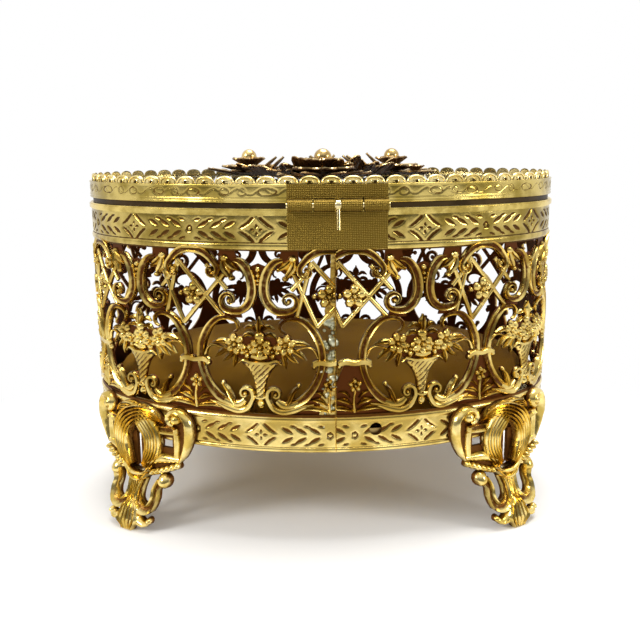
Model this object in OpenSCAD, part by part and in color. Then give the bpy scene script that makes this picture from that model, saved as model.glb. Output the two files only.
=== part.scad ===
// Oval gilt casket: a pierced wall on four cast legs, a padded floor, and a hinged
// glass lid that carries three applied flowers. The hinge is at the back (-Y).
// The origin is on the surface it stands on, under the middle of its outline with the hinge.

/* [Overall] */
// Length of the wall over its relief, left to right
wall_length = 140; // [120:1:170]
// Depth of the wall over its relief, front to back
wall_depth = 100; // [88:1:115]
// Half the angle of each long side's arc; the ends take up the rest
join_a = 36; // [33:0.5:39]
// Height of the wall's lower edge above the table
wall_lift = 26; // [22:0.5:32]

/* [Wall] */
// Height of the pierced wall, without its rolled rim
wall_height = 63; // [54:0.5:76]
// Thickness of the wall over its pressed relief
wall_t = 1.4; // [1.2:0.1:2]
// Height of the plain band under the piercing
foot_band_h = 10; // [8:0.5:13]
// Height of the plain band over the piercing
head_band_h = 8.8; // [7:0.2:11]
// Number of basket and trellis repeats round the wall
repeats = 10; // [8:1:12]
// Turn of the wall's seam from the back's middle, in degrees about the back arc
seam_turn = 2.4; // [0:0.1:6]
// Extra length of plain strip at the seam
seam_gap = 6.6; // [4:0.1:9]
// Bore of the drilled hole in the lower band
band_hole_d = 3.4; // [2:0.1:4]

/* [Rim and floor] */
// Height of the rolled rim on top of the wall
rim_h = 1.8; // [1.4:0.1:2.6]
// Overhang of the rolled rim past the wall
rim_out = 0.3; // [0.1:0.1:1]
// Depth of the flange inside the rolled rim
rim_flange_h = 5; // [3:0.5:7]
// Thickness of sheet in the rim flange and the floor
sheet_t = 0.6; // [0.5:0.1:1]
// Height of the floor plate's turned-up edge
floor_edge_h = 5; // [3:0.5:8]
// Thickness of the card under the cushion
card_t = 1.5; // [1:0.1:2.5]
// Height of the cushion at its crown
cushion_h = 15.5; // [10:0.5:20]

/* [Lid] */
// Height of the lid's engraved band
lid_band_h = 4.8; // [4:0.1:7]
// Thickness of the lid's band
lid_band_t = 0.8; // [0.6:0.1:1.2]
// Gap between the body's rim and the lid's band
lid_gap = 1.4; // [1:0.1:2]
// Height of the scalloped gallery over the band
gallery_h = 1.7; // [1.2:0.1:2.6]
// Number of scallops round the gallery
scallops = 68; // [50:2:80]
// Thickness of the glass
glass_t = 3; // [2.5:0.1:4]
// Width of the glass's bevel
bevel_w = 7; // [4:0.5:10]
// Depth of the glass's bevel at its edge
bevel_h = 1.2; // [0.6:0.1:1.8]
// Gap left round the glass
glass_gap = 0.3; // [0.2:0.05:0.5]

/* [Hinge] */
// Length of the hinge along its pin
hinge_l = 25.4; // [20:0.2:30]
// Outer diameter of the hinge's knuckles
knuckle_d = 3.2; // [2.8:0.1:4]
// Diameter of the hinge's pin
pin_d = 1.4; // [1.2:0.1:1.8]
// Clearance between pin and knuckle, on the radius
pin_gap = 0.08; // [0.05:0.01:0.15]
// Clearance between neighbouring knuckles
knuckle_gap = 0.4; // [0.3:0.05:0.6]
// Length of each outer knuckle
outer_knuckle_l = 6.2; // [5:0.1:7]
// Slot between the two middle knuckles, where the wire comes out
wire_slot = 1.6; // [1.4:0.1:2.4]
// Thickness of the hinge's leaves
leaf_t = 0.6; // [0.4:0.1:0.8]
// Height of the leaf on the body
body_leaf_h = 8.4; // [7:0.1:10]

/* [Legs] */
// Width of a leg across its scrolls
leg_w = 38.8; // [34:0.2:43]
// Height of a leg's top over the wall's lower edge
leg_rise = 11; // [9:0.5:14]
// Thickness of a leg where it lies on the wall
leg_t = 2.4; // [2:0.1:3.5]
// Turn of each leg from the middle of the long side, about the side arc
leg_turn = 34.7; // [28:0.1:38]
// Reach of the toe past the wall
toe_reach = 10; // [7:0.5:12]
// Diameter of the flat under each foot
foot_flat_d = 6; // [4:0.5:8]

/* [Ornament] */
// Half the distance between the two rear flowers
flower_x = 23.6; // [20:0.1:28]
// Distance of the rear pair of flowers behind the oval's long axis, away from the hinge
flower_far_y = 20; // [14:0.5:22]
// Distance of the middle flower from the long axis, towards the hinge
flower_near_y = 22; // [15:0.5:24]
// Sideways place of the middle flower
flower_near_x = 0.7; // [0:0.1:2]
// Diameter of each flower's ball
ball_d = 5; // [4:0.1:6]
// Span of a flower's lower petals
petal_span = 19; // [15:0.5:22]
// Thickness of the petals and leaves
petal_t = 0.9; // [0.6:0.1:1.2]
// Diameter of the studs that hold the flowers
stud_d = 2; // [1.6:0.1:2.6]
// Clearance of each stud in the glass, on the radius
stud_gap = 0.25; // [0.15:0.05:0.4]

/* [Hidden] */
$fn = 96;
touch = 0.05; // clearance between curved faces that seat on each other

half_l = wall_length / 2;
half_d = wall_depth / 2;
// Four arcs that meet at a common tangent: two ends and two long sides
end_radius = (half_d - half_l * tan(join_a / 2)) / (1 - tan(join_a / 2));
end_x = half_l - end_radius; // centre of each end arc
side_radius = end_radius + end_x / sin(join_a);
side_y = side_radius - half_d; // centre of each side arc, past the middle

side_len = side_radius * join_a * PI / 180; // from a side's middle to the joint
end_len = end_radius * (90 - join_a) * PI / 180; // from the joint to an end's middle
quarter = side_len + end_len;
seam_s = side_radius * seam_turn * PI / 180;
repeat_l = (4 * quarter - seam_gap) / repeats;
first_flower = 4.9; // from the seam to the first trellis flower

wall_top = wall_lift + wall_height;
rim_top = wall_top + rim_h;
lid_z = rim_top + lid_gap; // lower edge of the lid's band
band_top = lid_z + lid_band_h;
lid_in = -lid_band_t; // inner face of the lid's band, from the oval
seat_w = 4;
seat_z = band_top - glass_t - sheet_t - 0.2;
glass_z = seat_z + sheet_t;
glass_top = glass_z + glass_t;
gallery_t = 0.6;
glass_d = lid_in - gallery_t - touch - glass_gap; // edge of the glass, from the oval

floor_z = wall_lift + 1;
card_z = floor_z + sheet_t;
cushion_z = card_z + card_t + 0.1;
floor_d = -wall_t - touch; // outer face of the floor's edge, from the oval
cushion_d = floor_d - sheet_t - 1.2;

spray_z = glass_top + touch;
lower_z = spray_z + petal_t + touch;
upper_z = lower_z + 2;
ball_z = upper_z + 3.4;
washer_t = 0.5;
nut_h = 1.6;
stud_end = glass_z - washer_t - nut_h - 0.6;
// Directions of the leaves round the left, middle and right flowers
leaf_angles = [[100, 140, 180, 220, 270, 60], [150, 190, 230, 270, 310, 350, 30],
    [80, 40, 0, -40, 120, 230]];

hinge_turn = seam_turn + 0.3; // the hinge sits over the seam
pin_off = knuckle_d / 2 + rim_out - 0.15; // pin axis outside the oval
centre_y = (pin_off + knuckle_d / 2 - rim_out) / 2; // the oval's middle, from the origin
pin_z = lid_z - 0.45;
sweep_r = knuckle_d / 2 + 0.15; // room that a turning knuckle needs
leg_top = wall_lift + leg_rise;
bud_place = [flower_x + 6, centre_y + flower_far_y - 17];

// Point of the oval, offset by d, at arc length s from the back's middle towards +X,
// as [x, y, direction of the outward normal]
function oval_at(s, d = 0) =
    let (t = s - 4 * quarter * floor((s + quarter) / (4 * quarter)))
    t > quarter ? mirror_y(oval_at(2 * quarter - t, d)) :
    t < 0 ? mirror_x(oval_at(-t, d)) :
    t <= side_len ? on_side(t / side_radius * 180 / PI, d) :
    on_end(join_a + (t - side_len) / end_radius * 180 / PI, d);
function on_side(a, d) =
    [(side_radius + d) * sin(a), side_y - (side_radius + d) * cos(a), a - 90];
function on_end(a, d) =
    [end_x + (end_radius + d) * sin(a), -(end_radius + d) * cos(a), a - 90];
function mirror_x(p) = [-p[0], p[1], 180 - p[2]];
function mirror_y(p) = [p[0], -p[1], -p[2]];

// Filled four-arc oval, offset by d, with about sides flats to a full turn
module oval(d = 0, sides = 200) {
    translate([0, centre_y]) {
        intersection() {
            translate([0, side_y]) circle(side_radius + d, $fn = sides);
            translate([0, -side_y]) circle(side_radius + d, $fn = sides);
            square([2 * (side_radius + d) * sin(join_a), 3 * half_d], center = true);
        }
        for (side = [-1, 1])
            translate([side * end_x, 0]) circle(end_radius + d, $fn = sides);
    }
}

// Upright band round the oval between two offsets
module band(d_in, d_out, z0, z1) {
    translate([0, 0, z0]) linear_extrude(z1 - z0) difference() {
        oval(d_out);
        oval(d_in);
    }
}

// Sweeps a section along the back arc only, from angle a0 to a1 about its centre
module round_back(a0, a1) {
    translate([0, centre_y + side_y]) rotate(a0 - 90)
        rotate_extrude(angle = a1 - a0, $fn = 240)
            translate([side_radius, 0]) children();
}

// Puts children at arc length s with +X right, +Y up the wall and +Z outwards
module on_oval(s, d = 0) {
    p = oval_at(s, d);
    translate([p[0], centre_y + p[1], 0]) rotate([90, 0, p[2] + 90]) children();
}

module diamond(w, h) {
    polygon([[-w / 2, 0], [0, -h / 2], [w / 2, 0], [0, h / 2]]);
}

// Openings round a trellis flower, centred on its axis; heights are over the wall's foot
module trellis_cuts(u, v0, v1) {
    step = 3.3 * u;
    rise = (v1 - v0) / 44;
    mid = v0 + 31.6 * rise;
    for (i = [-2:2], j = [-2:2])
        if ((i + j) % 2 != 0 && abs(i) + abs(j) < 4)
            translate([i * step, mid + j * 3.9 * rise]) diamond(2 * step - 1.3, 6.5 * rise);
    for (side = [-1, 1]) {
        translate([side * 3.4 * u, v0 + 7 * rise]) scale(rise) circle(1.7);
        translate([side * 3.2 * u, v0 + 2.2 * rise]) diamond(3.4 * u, 3.4 * rise);
        translate([side * 2.9 * u, v0 + 18.5 * rise]) diamond(2.6 * u, 3.4 * rise);
    }
}

// Openings round a flower basket, centred on its axis
module basket_cuts(u, v0, v1) {
    rise = (v1 - v0) / 44;
    for (side = [-1, 1]) {
        polygon([for (p = [[2.2, 13], [3.6, 20.5], [7.4, 19], [8, 11], [6, 6], [3.2, 4.2], [1.4, 5]])
            [side * p[0] * u, v0 + p[1] * rise]]);
        translate([side * 4.3 * u, v0 + 40.2 * rise]) circle(1.9 * u);
        translate([side * 6 * u, v0 + 25.6 * rise]) diamond(2.4 * u, 5 * rise);
        translate([side * 4.2 * u, v0 + 31.5 * rise]) diamond(2.6 * u, 5 * rise);
        translate([side * 3 * u, v0 + 1.6 * rise]) circle(0.9 * u);
    }
}

module filigree_wall() {
    v0 = wall_lift + foot_band_h;
    v1 = wall_top - head_band_h;
    u = repeat_l / 37.3;
    start = seam_s + first_flower;
    groove = 0.35;
    color("goldenrod") difference() {
        union() {
            band(-wall_t, -groove, wall_lift, wall_top);
            for (z = [[wall_lift, wall_lift + 1.2], [v0 - 1.7, v0 - 0.4],
                    [v1 + 0.2, v1 + 1.7]])
                band(-wall_t, 0, z[0], z[1]);
            round_back(seam_turn - 2.2, seam_turn)
                translate([-groove - 0.1, wall_lift + 0.4])
                    square([groove + 0.4, wall_height - body_leaf_h - 3]);
        }
        for (i = [0:repeats - 1]) {
            on_oval(start + i * repeat_l, -wall_t / 2)
                linear_extrude(2 * wall_t, center = true) trellis_cuts(u, v0, v1);
            on_oval(start + (i + 0.5) * repeat_l, -wall_t / 2)
                linear_extrude(2 * wall_t, center = true) basket_cuts(u, v0, v1);
        }
        on_oval(14.4) translate([0, wall_lift + 6.2, 0])
            cylinder(d = band_hole_d, h = 4 * wall_t, center = true);
    }
}

module body_rim() {
    inner = -wall_t - touch;
    bead_z = wall_top + touch;
    round_in = 0.35;
    color("darkgoldenrod") {
        band(inner - sheet_t, inner, wall_top - rim_flange_h, rim_top);
        band(inner - sheet_t, rim_out - round_in, bead_z, rim_top);
        band(inner - sheet_t, rim_out, bead_z + round_in, rim_top - round_in);
    }
}

module floor_plate() {
    color("peru") {
        band(floor_d - sheet_t, floor_d, floor_z, floor_z + floor_edge_h);
        translate([0, 0, floor_z]) linear_extrude(sheet_t) oval(floor_d - sheet_t / 2);
    }
}

module pad_card() {
    color("tan") translate([0, 0, card_z]) linear_extrude(card_t)
        oval(floor_d - sheet_t - 0.3);
}

// Plain skirt drawn in at its foot, under a low crown that rises to the middle
module cushion() {
    steps = 7;
    sides = 64;
    base_h = cushion_h * 0.52;
    function ring(k) =
        let (t = k / steps)
        [cushion_d - 9 * pow(1 - cos(90 * t), 0.8) * 1.6 - (k == 0 ? 1.5 : 0),
            k == 0 ? 0 : base_h + (cushion_h - base_h) * sin(90 * t)];
    color("#8a5c10") translate([0, 0, cushion_z]) polyhedron(
        points = [
            for (k = [0:steps], i = [0:sides - 1])
                let (r = ring(k), p = oval_at(i * 4 * quarter / sides, r[0]))
                [p[0], centre_y + p[1], r[1]],
            [0, centre_y, 0], [0, centre_y, cushion_h + 0.6]],
        faces = [
            for (k = [0:steps - 1], i = [0:sides - 1])
                let (j = (i + 1) % sides, a = k * sides, b = a + sides)
                for (f = [[a + i, b + j, a + j], [a + i, b + i, b + j]]) f,
            for (i = [0:sides - 1])
                [(steps + 1) * sides, i, (i + 1) % sides],
            for (i = [0:sides - 1])
                [(steps + 1) * sides + 1, steps * sides + (i + 1) % sides, steps * sides + i]]);
}

// Front outline of a leg's shield, x from its axis and y over the table
module leg_outline() {
    w = leg_w / 2;
    knee = wall_lift - 8;
    half = [[3.2, knee - 2], [5.5, knee - 1.6], [w - 5.4, knee + 1.4], [w - 3.8, knee + 3.4],
        [w, knee + 11.6], [w - 0.6, leg_top - 3.6], [w - 4.6, leg_top - 6], [8, leg_top - 6],
        [5, leg_top - 1.4]];
    difference() {
        union() {
            polygon([for (p = half) p, for (i = [1:len(half)]) let (p = half[len(half) - i]) [-p[0], p[1]]]);
            for (side = [-1, 1]) {
                translate([side * (w - 4.3), leg_top - 4.3]) circle(3.2);
                translate([side * 3.4, leg_top - 3.6]) circle(3.4);
            }
        }
        for (side = [-1, 1])
            translate([side * (w - 9), wall_lift - 1]) square([3.4, 2.6], center = true);
        translate([0, wall_lift - 3.3]) diamond(1.6, 8);
    }
}

// Scroll at the side of a leg's stem, from its axis and the knee
module side_scroll() {
    linear_extrude(2.4) polygon([[0.6, -3.6], [0.4, -9.6], [2.6, -13], [6.6, -12.2], [9.8, -7.2],
        [11.4, -4.2], [9.4, -3], [7.6, -6.2], [5.4, -9.8], [4, -10.4], [2.8, -9], [2.8, -3.6]]);
    translate([10.4, -3.4, 0.2]) cylinder(r = 2, h = 2.4, $fn = 48);
}

// One cast leg, for a right or left corner at the front or back
module leg(right, front) {
    flat = foot_flat_d;
    knee = wall_lift - 8;
    color("gold") translate([0, centre_y, 0]) mirror([right ? 0 : 1, 0, 0])
            mirror([0, front ? 1 : 0, 0]) translate([0, -centre_y, 0]) {
        intersection() {
            band(touch, touch + leg_t, 0, leg_top + 1);
            on_oval(side_radius * leg_turn * PI / 180)
                linear_extrude(30, center = true) leg_outline();
        }
        on_oval(side_radius * leg_turn * PI / 180) {
            translate([0, knee + 0.6, leg_t / 2 + touch])
                rotate([90, 0, 0]) cylinder(d = leg_t + 1.6, h = 3.6, $fn = 48);
            hull() {
                translate([0, knee - 2.6, leg_t / 2 + touch])
                    rotate([90, 0, 0]) cylinder(d = leg_t + 0.4, h = 0.5, $fn = 32);
                translate([0, knee - 9, 2.4]) scale([1.5, 1, 0.9]) sphere(2.2, $fn = 32);
            }
            hull() {
                translate([0, knee - 9, 2.4]) scale([1.5, 1, 0.9]) sphere(2.2, $fn = 32);
                translate([0, 3.6, toe_reach - flat / 2]) scale([1.3, 0.8, 1]) sphere(3, $fn = 32);
            }
            translate([0, 0, toe_reach - flat / 2]) rotate([-90, 0, 0])
                cylinder(d = flat, h = 3.4);
            for (side = [0, 1]) mirror([side, 0, 0]) {
                translate([0, knee, 2.8]) side_scroll();
                translate([0, 0.4, 0]) rotate([-90, 0, 0]) linear_extrude(2.6) hull() {
                    translate([0, flat / 2 - toe_reach]) circle(flat / 2 - 0.6);
                    translate([5.4, 2.4 - toe_reach]) circle(1.4);
                }
            }
        }
    }
}
module leg_back_left() { leg(false, false); }
module leg_back_right() { leg(true, false); }
module leg_front_left() { leg(false, true); }
module leg_front_right() { leg(true, true); }

// Puts children on the pin's axis, with +X along the pin and +Y into the box
module at_hinge() {
    translate([0, centre_y + side_y]) rotate(hinge_turn)
        translate([0, -side_radius - pin_off, pin_z]) children();
}

// Barrels of a leaf between each pair [x0, x1], with children added before they are bored
module knuckles(spans) {
    difference() {
        union() {
            children();
            for (x = spans)
                at_hinge() translate([x[0], 0, 0]) rotate([0, 90, 0])
                    cylinder(d = knuckle_d, h = x[1] - x[0], $fn = 64);
        }
        at_hinge() translate([-hinge_l, 0, 0]) rotate([0, 90, 0])
            cylinder(r = pin_d / 2 + pin_gap, h = 2 * hinge_l, $fn = 64);
    }
}

// Angle about the back arc of a place x along the hinge
function hinge_a(x) = hinge_turn + asin(x / side_radius);

module hinge_leaf_body() {
    middle_x = hinge_l / 2 - outer_knuckle_l - knuckle_gap;
    spans = [[-middle_x, -wire_slot / 2], [wire_slot / 2, middle_x]];
    over = rim_out + touch;
    foot = wall_top - body_leaf_h;
    top = pin_z - sweep_r;
    color("sienna") knuckles(spans) {
        round_back(hinge_a(-hinge_l / 2), hinge_a(hinge_l / 2))
            polygon([[touch, foot], [touch + leaf_t, foot],
                [touch + leaf_t, wall_top - 1.4], [over + leaf_t, wall_top - 0.4],
                [over + leaf_t, top], [over, top], [over, wall_top - 0.2], [touch, wall_top - 1.2]]);
        for (x = spans)
            round_back(hinge_a(x[0]), hinge_a(x[1]))
                translate([over, top - 0.2]) square([leaf_t + 0.3, sweep_r - 0.3]);
    }
}

// The pin, with the turned-down wire between the middle knuckles that keeps it in place
module hinge_pin() {
    wire_d = wire_slot - 2 * knuckle_gap + 0.2;
    lean = 13.2;
    color("gold") at_hinge() {
        translate([-hinge_l / 2 - 0.3, 0, 0]) rotate([0, 90, 0])
            cylinder(d = pin_d, h = hinge_l + 0.6, $fn = 64);
        translate([-wire_d / 2, 0, 0]) rotate([0, 90, 0])
            cylinder(d = knuckle_d - 0.4, h = wire_d, $fn = 64);
        translate([0, -0.5, 0]) rotate([180 - lean, 0, 0])
            cylinder(d = wire_d, h = 6.2, $fn = 48);
    }
}

module lid_band() {
    groove = 0.3;
    color("darkgoldenrod") {
        band(lid_in, -groove, lid_z, band_top);
        for (z = [[lid_z + 0.1, lid_z + 0.6], [lid_z + 0.8, lid_z + 1.3],
                [band_top - 0.4, band_top]])
            band(lid_in, 0, z[0], z[1]);
    }
}

module lid_gallery() {
    outer = lid_in - touch;
    inner = outer - gallery_t;
    top = band_top + gallery_h;
    lip_z = glass_top + touch; // lip that keeps the glass down
    pitch = 4 * quarter / scallops;
    color("goldenrod") difference() {
        union() {
            band(inner, outer, glass_top - 2.2, top);
            band(inner - glass_gap - 0.7, inner + gallery_t / 2, lip_z, lip_z + 0.4);
        }
        for (i = [0:scallops - 1])
            on_oval((i + 0.5) * pitch, outer) translate([0, top, 0])
                cube([1.8, 1.8, 4 * gallery_t], center = true);
    }
}

// Ledge under the glass, on a skirt that stands on the body's rim when the lid is shut
module glass_seat() {
    outer = lid_in - touch;
    color("peru") {
        band(outer - seat_w, outer, seat_z, seat_z + sheet_t);
        band(outer - sheet_t, outer, rim_top + touch, seat_z + sheet_t);
    }
}

function stud_places() =
    [for (p = [[-flower_x, flower_far_y], [flower_near_x, -flower_near_y], [flower_x, flower_far_y]])
        p + [0, centre_y]];

module lid_glass() {
    color("lightcyan", 0.5) difference() {
        hull() {
            translate([0, 0, glass_z]) linear_extrude(glass_t - bevel_h) oval(glass_d, 100);
            translate([0, 0, glass_z]) linear_extrude(glass_t) oval(glass_d - bevel_w, 100);
        }
        for (p = stud_places())
            translate([p[0], p[1], glass_z - 1]) cylinder(r = stud_d / 2 + stud_gap, h = glass_t + 2);
    }
}

module hinge_leaf_lid() {
    inner_x = hinge_l / 2 - outer_knuckle_l;
    spans = [[-hinge_l / 2, -inner_x], [inner_x, hinge_l / 2]];
    foot = pin_z + sweep_r;
    color("sienna") knuckles(spans) {
        round_back(hinge_a(-hinge_l / 2), hinge_a(hinge_l / 2))
            translate([touch, foot]) square([leaf_t, band_top - foot]);
        for (x = spans)
            round_back(hinge_a(x[0]), hinge_a(x[1]))
                translate([touch, pin_z + 0.5]) square([pin_off - 0.4, sweep_r - 0.3]);
    }
}

// Pointed leaf from the origin along +X
module leaf(l, w) {
    r = (l * l + w * w) / (4 * w);
    intersection() {
        translate([l / 2, r - w / 2]) circle(r);
        translate([l / 2, w / 2 - r]) circle(r);
    }
}

module stud_hole(h) {
    translate([0, 0, -1]) cylinder(r = stud_d / 2 + touch, h = h + 2, $fn = 48);
}

module leaf_spray() {
    tip = petal_span * 0.75;
    base = petal_span * 0.2;
    places = stud_places();
    stem_w = 1.2;
    color("saddlebrown") difference() {
        translate([0, 0, spray_z]) {
            for (i = [0:2]) translate(places[i]) {
                cylinder(r = petal_span * 0.3, h = petal_t);
                for (a = leaf_angles[i])
                    rotate(a) translate([base, 0, 0]) linear_extrude(petal_t) leaf(tip - base, 4.4);
            }
            for (ends = [[places[0], places[1]], [places[2], places[1]], [places[2], bud_place]])
                linear_extrude(petal_t) polygon([
                    ends[0] + [-stem_w, 0], ends[1] + [-stem_w, 0],
                    ends[1] + [stem_w, 0], ends[0] + [stem_w, 0]]);
            translate(bud_place) cylinder(r = 2.6, h = petal_t);
        }
        for (p = places) translate([p[0], p[1], spray_z]) stud_hole(petal_t);
    }
}

// Rosette of dished petals round a stud, with its lowest point at z
module petals(place, z, span, count, turn) {
    disc = span * 0.2;
    tilt = 14;
    color("saddlebrown") translate([place[0], place[1], z]) rotate(turn) difference() {
        union() {
            cylinder(r = span * 0.22, h = petal_t);
            for (i = [0:count - 1])
                rotate((i + 0.5) * 360 / count) translate([span * 0.1, 0, 0.15])
                    rotate([0, -tilt, 0]) translate([disc, 0, 0]) cylinder(r = disc, h = petal_t);
        }
        stud_hole(petal_t);
    }
}

module flower_lower(i) { petals(stud_places()[i], lower_z, petal_span, 6, 11 + 22 * i); }
module flower_upper(i) { petals(stud_places()[i], upper_z, petal_span * 0.62, 5, 7 + 41 * i); }
module flower_left_lower() { flower_lower(0); }
module flower_middle_lower() { flower_lower(1); }
module flower_right_lower() { flower_lower(2); }
module flower_left_upper() { flower_upper(0); }
module flower_middle_upper() { flower_upper(1); }
module flower_right_upper() { flower_upper(2); }

// Ball on a threaded shank that goes down through the flower and the glass
module ball_stud(i) {
    p = stud_places()[i];
    color("darkgoldenrod") translate([p[0], p[1], 0]) {
        translate([0, 0, ball_z]) sphere(d = ball_d, $fn = 64);
        translate([0, 0, upper_z + petal_t + 0.3])
            cylinder(d = stud_d + 0.3, h = ball_z - upper_z - petal_t - 0.3, $fn = 48);
        translate([0, 0, stud_end]) cylinder(d = stud_d, h = ball_z - stud_end, $fn = 48);
    }
}
module ball_stud_left() { ball_stud(0); }
module ball_stud_middle() { ball_stud(1); }
module ball_stud_right() { ball_stud(2); }

module bud() {
    color("saddlebrown") translate([bud_place[0], bud_place[1], lower_z]) {
        cylinder(r = 2.4, h = petal_t);
        cylinder(r = 1, h = 2.6, $fn = 48);
        translate([0, 0, 3.2]) sphere(r = 1.1, $fn = 48);
    }
}

module stud_washers() {
    color("silver") for (p = stud_places())
        translate([p[0], p[1], glass_z - washer_t - touch]) difference() {
            cylinder(d = 5, h = washer_t);
            stud_hole(washer_t);
        }
}

module stud_nuts() {
    color("silver") for (p = stud_places())
        translate([p[0], p[1], glass_z - washer_t - nut_h - 2 * touch]) difference() {
            cylinder(d = 4.4, h = nut_h, $fn = 6);
            stud_hole(nut_h);
        }
}

filigree_wall();
body_rim();
floor_plate();
pad_card();
cushion();
leg_back_left();
leg_back_right();
leg_front_left();
leg_front_right();
hinge_leaf_body();
hinge_pin();
lid_band();
lid_gallery();
glass_seat();
lid_glass();
hinge_leaf_lid();
leaf_spray();
flower_left_lower();
flower_middle_lower();
flower_right_lower();
flower_left_upper();
flower_middle_upper();
flower_right_upper();
ball_stud_left();
ball_stud_middle();
ball_stud_right();
bud();
stud_washers();
stud_nuts();
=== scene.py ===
import math
import random
import bmesh
import bpy
from mathutils import Matrix, Vector


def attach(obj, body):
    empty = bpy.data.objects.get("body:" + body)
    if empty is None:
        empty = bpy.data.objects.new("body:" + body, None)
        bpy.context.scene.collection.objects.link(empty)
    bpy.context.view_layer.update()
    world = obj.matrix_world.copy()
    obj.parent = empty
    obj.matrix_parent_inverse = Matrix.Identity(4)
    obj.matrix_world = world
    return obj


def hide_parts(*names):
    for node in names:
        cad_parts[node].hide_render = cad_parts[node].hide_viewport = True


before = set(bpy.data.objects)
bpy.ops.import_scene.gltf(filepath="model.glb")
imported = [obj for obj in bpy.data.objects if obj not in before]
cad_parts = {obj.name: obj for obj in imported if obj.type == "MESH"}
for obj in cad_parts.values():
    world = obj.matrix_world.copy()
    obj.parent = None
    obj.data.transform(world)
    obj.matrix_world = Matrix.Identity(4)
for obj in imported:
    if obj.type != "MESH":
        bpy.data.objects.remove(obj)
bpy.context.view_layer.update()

# The studio: a pale floor under a white surround, one large soft lamp overhead and a smaller
# one from the left. The camera stands behind the box, a little above its lid, and looks down
# at the hinge. Its side of the room is left dark, so that polished metal has something to show.
mm = 0.001
scene = bpy.context.scene
scene.view_settings.view_transform = "Standard"
centre_y = 1.525

lens = bpy.data.cameras.new("camera")
lens.sensor_width = 36
lens.lens = 46.0
lens.clip_start = 0.01
lens.shift_x = -0.0023
camera = bpy.data.objects.new("camera", lens)
camera.matrix_world = (
    Matrix.Translation((0, (centre_y - 256.6) * mm, 105.2 * mm))
    @ Matrix.Rotation(math.pi / 2 - 0.2047, 4, "X")
    @ Matrix.Rotation(-0.0075, 4, "Z")
)
scene.collection.objects.link(camera)
scene.camera = camera


def node_in(tree, kind, place=(0, 0), **settings):
    node = tree.nodes.new(kind)
    node.location = place
    for name, value in settings.items():
        setattr(node, name, value)
    return node


def fill(node, values):
    for socket, value in values.items():
        node.inputs[socket].default_value = value


def wire_up(tree, *links):
    """Links output to input, each given as node, output, node, input."""
    for a, out, b, into in links:
        tree.links.new(a.outputs[out], b.inputs[into])


def soft_lamp(name, place, size, power):
    light = bpy.data.lights.new(name, "AREA")
    light.shape = "DISK"
    light.size = size
    light.energy = power
    lamp = bpy.data.objects.new(name, light)
    lamp.location = place
    lamp.rotation_euler = (lamp_aim - lamp.location).to_track_quat("-Z", "Y").to_euler()
    scene.collection.objects.link(lamp)


lamp_aim = Vector((0, 0, 0.05))
soft_lamp("overhead lamp", (0.1, 0.15, 1.0), 0.75, 11)
soft_lamp("left lamp", (-0.75, -0.45, 0.55), 0.35, 5)
soft_lamp("right lamp", (0.8, -0.35, 0.35), 0.25, 2.2)

world = bpy.data.worlds.new("studio")
scene.world = world
world.use_nodes = True
room = world.node_tree
room.nodes.clear()
direction = node_in(room, "ShaderNodeTexCoord", (-1200, 0))
parts = node_in(room, "ShaderNodeSeparateXYZ", (-1000, 0))
room.links.new(direction.outputs["Generated"], parts.inputs[0])
behind = node_in(room, "ShaderNodeMapRange", (-800, 100), interpolation_type="SMOOTHSTEP")
fill(behind, {"From Min": -0.55, "From Max": 0.1, "To Min": 0.22, "To Max": 1.0})
room.links.new(parts.outputs["Y"], behind.inputs["Value"])
above = node_in(room, "ShaderNodeMapRange", (-800, -200), interpolation_type="SMOOTHSTEP")
fill(above, {"From Min": 0.25, "From Max": 0.8, "To Min": 0.0, "To Max": 1.0})
room.links.new(parts.outputs["Z"], above.inputs["Value"])
surround = node_in(room, "ShaderNodeMath", (-600, 0), operation="MAXIMUM")
wire_up(
    room,
    (behind, 0, surround, 0), (above, 0, surround, 1),
)
path = node_in(room, "ShaderNodeLightPath", (-800, 500))
seen = node_in(room, "ShaderNodeMath", (-600, 400), operation="ADD", use_clamp=True)
wire_up(
    room,
    (path, "Is Camera Ray", seen, 0), (path, "Is Transmission Ray", seen, 1),
)
shiny = node_in(room, "ShaderNodeMix", (-400, 100), data_type="FLOAT")
room.links.new(path.outputs["Is Glossy Ray"], shiny.inputs["Factor"])
shiny.inputs["A"].default_value = 0.62
room.links.new(surround.outputs[0], shiny.inputs["B"])
strength = node_in(room, "ShaderNodeMix", (-200, 200), data_type="FLOAT")
wire_up(
    room,
    (seen, 0, strength, "Factor"), (shiny, "Result", strength, "A"),
)
strength.inputs["B"].default_value = 1.0
glow = node_in(room, "ShaderNodeBackground", (0, 0))
glow.inputs["Color"].default_value = (1, 1, 1, 1)
room.links.new(strength.outputs["Result"], glow.inputs["Strength"])
room.links.new(glow.outputs[0], node_in(room, "ShaderNodeOutputWorld", (200, 0)).inputs[0])

floor_mesh = bpy.data.meshes.new("floor")
floor_mesh.from_pydata([(-3, -3, 0), (3, -3, 0), (3, 3, 0), (-3, 3, 0)], [], [(0, 1, 2, 3)])
floor = bpy.data.objects.new("floor", floor_mesh)
scene.collection.objects.link(floor)
paper = bpy.data.materials.new("white paper")
paper.use_nodes = True
tree = paper.node_tree
fill(tree.nodes["Principled BSDF"], {"Base Color": (0.9, 0.89, 0.87, 1), "Roughness": 0.9})
spot_on_floor = node_in(tree, "ShaderNodeTexCoord", (-1300, 300))
oval_way = node_in(tree, "ShaderNodeVectorMath", (-1100, 300), operation="MULTIPLY")
oval_way.inputs[1].default_value = (1.0, 1.15, 1.0)
far_off = node_in(tree, "ShaderNodeVectorMath", (-900, 300), operation="LENGTH")
beyond = node_in(tree, "ShaderNodeMapRange", (-700, 300), interpolation_type="SMOOTHSTEP")
fill(beyond, {"From Min": 0.075, "From Max": 0.17})
ray = node_in(tree, "ShaderNodeLightPath", (-1100, 700))
first = node_in(tree, "ShaderNodeMath", (-900, 700), operation="ADD")
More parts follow.
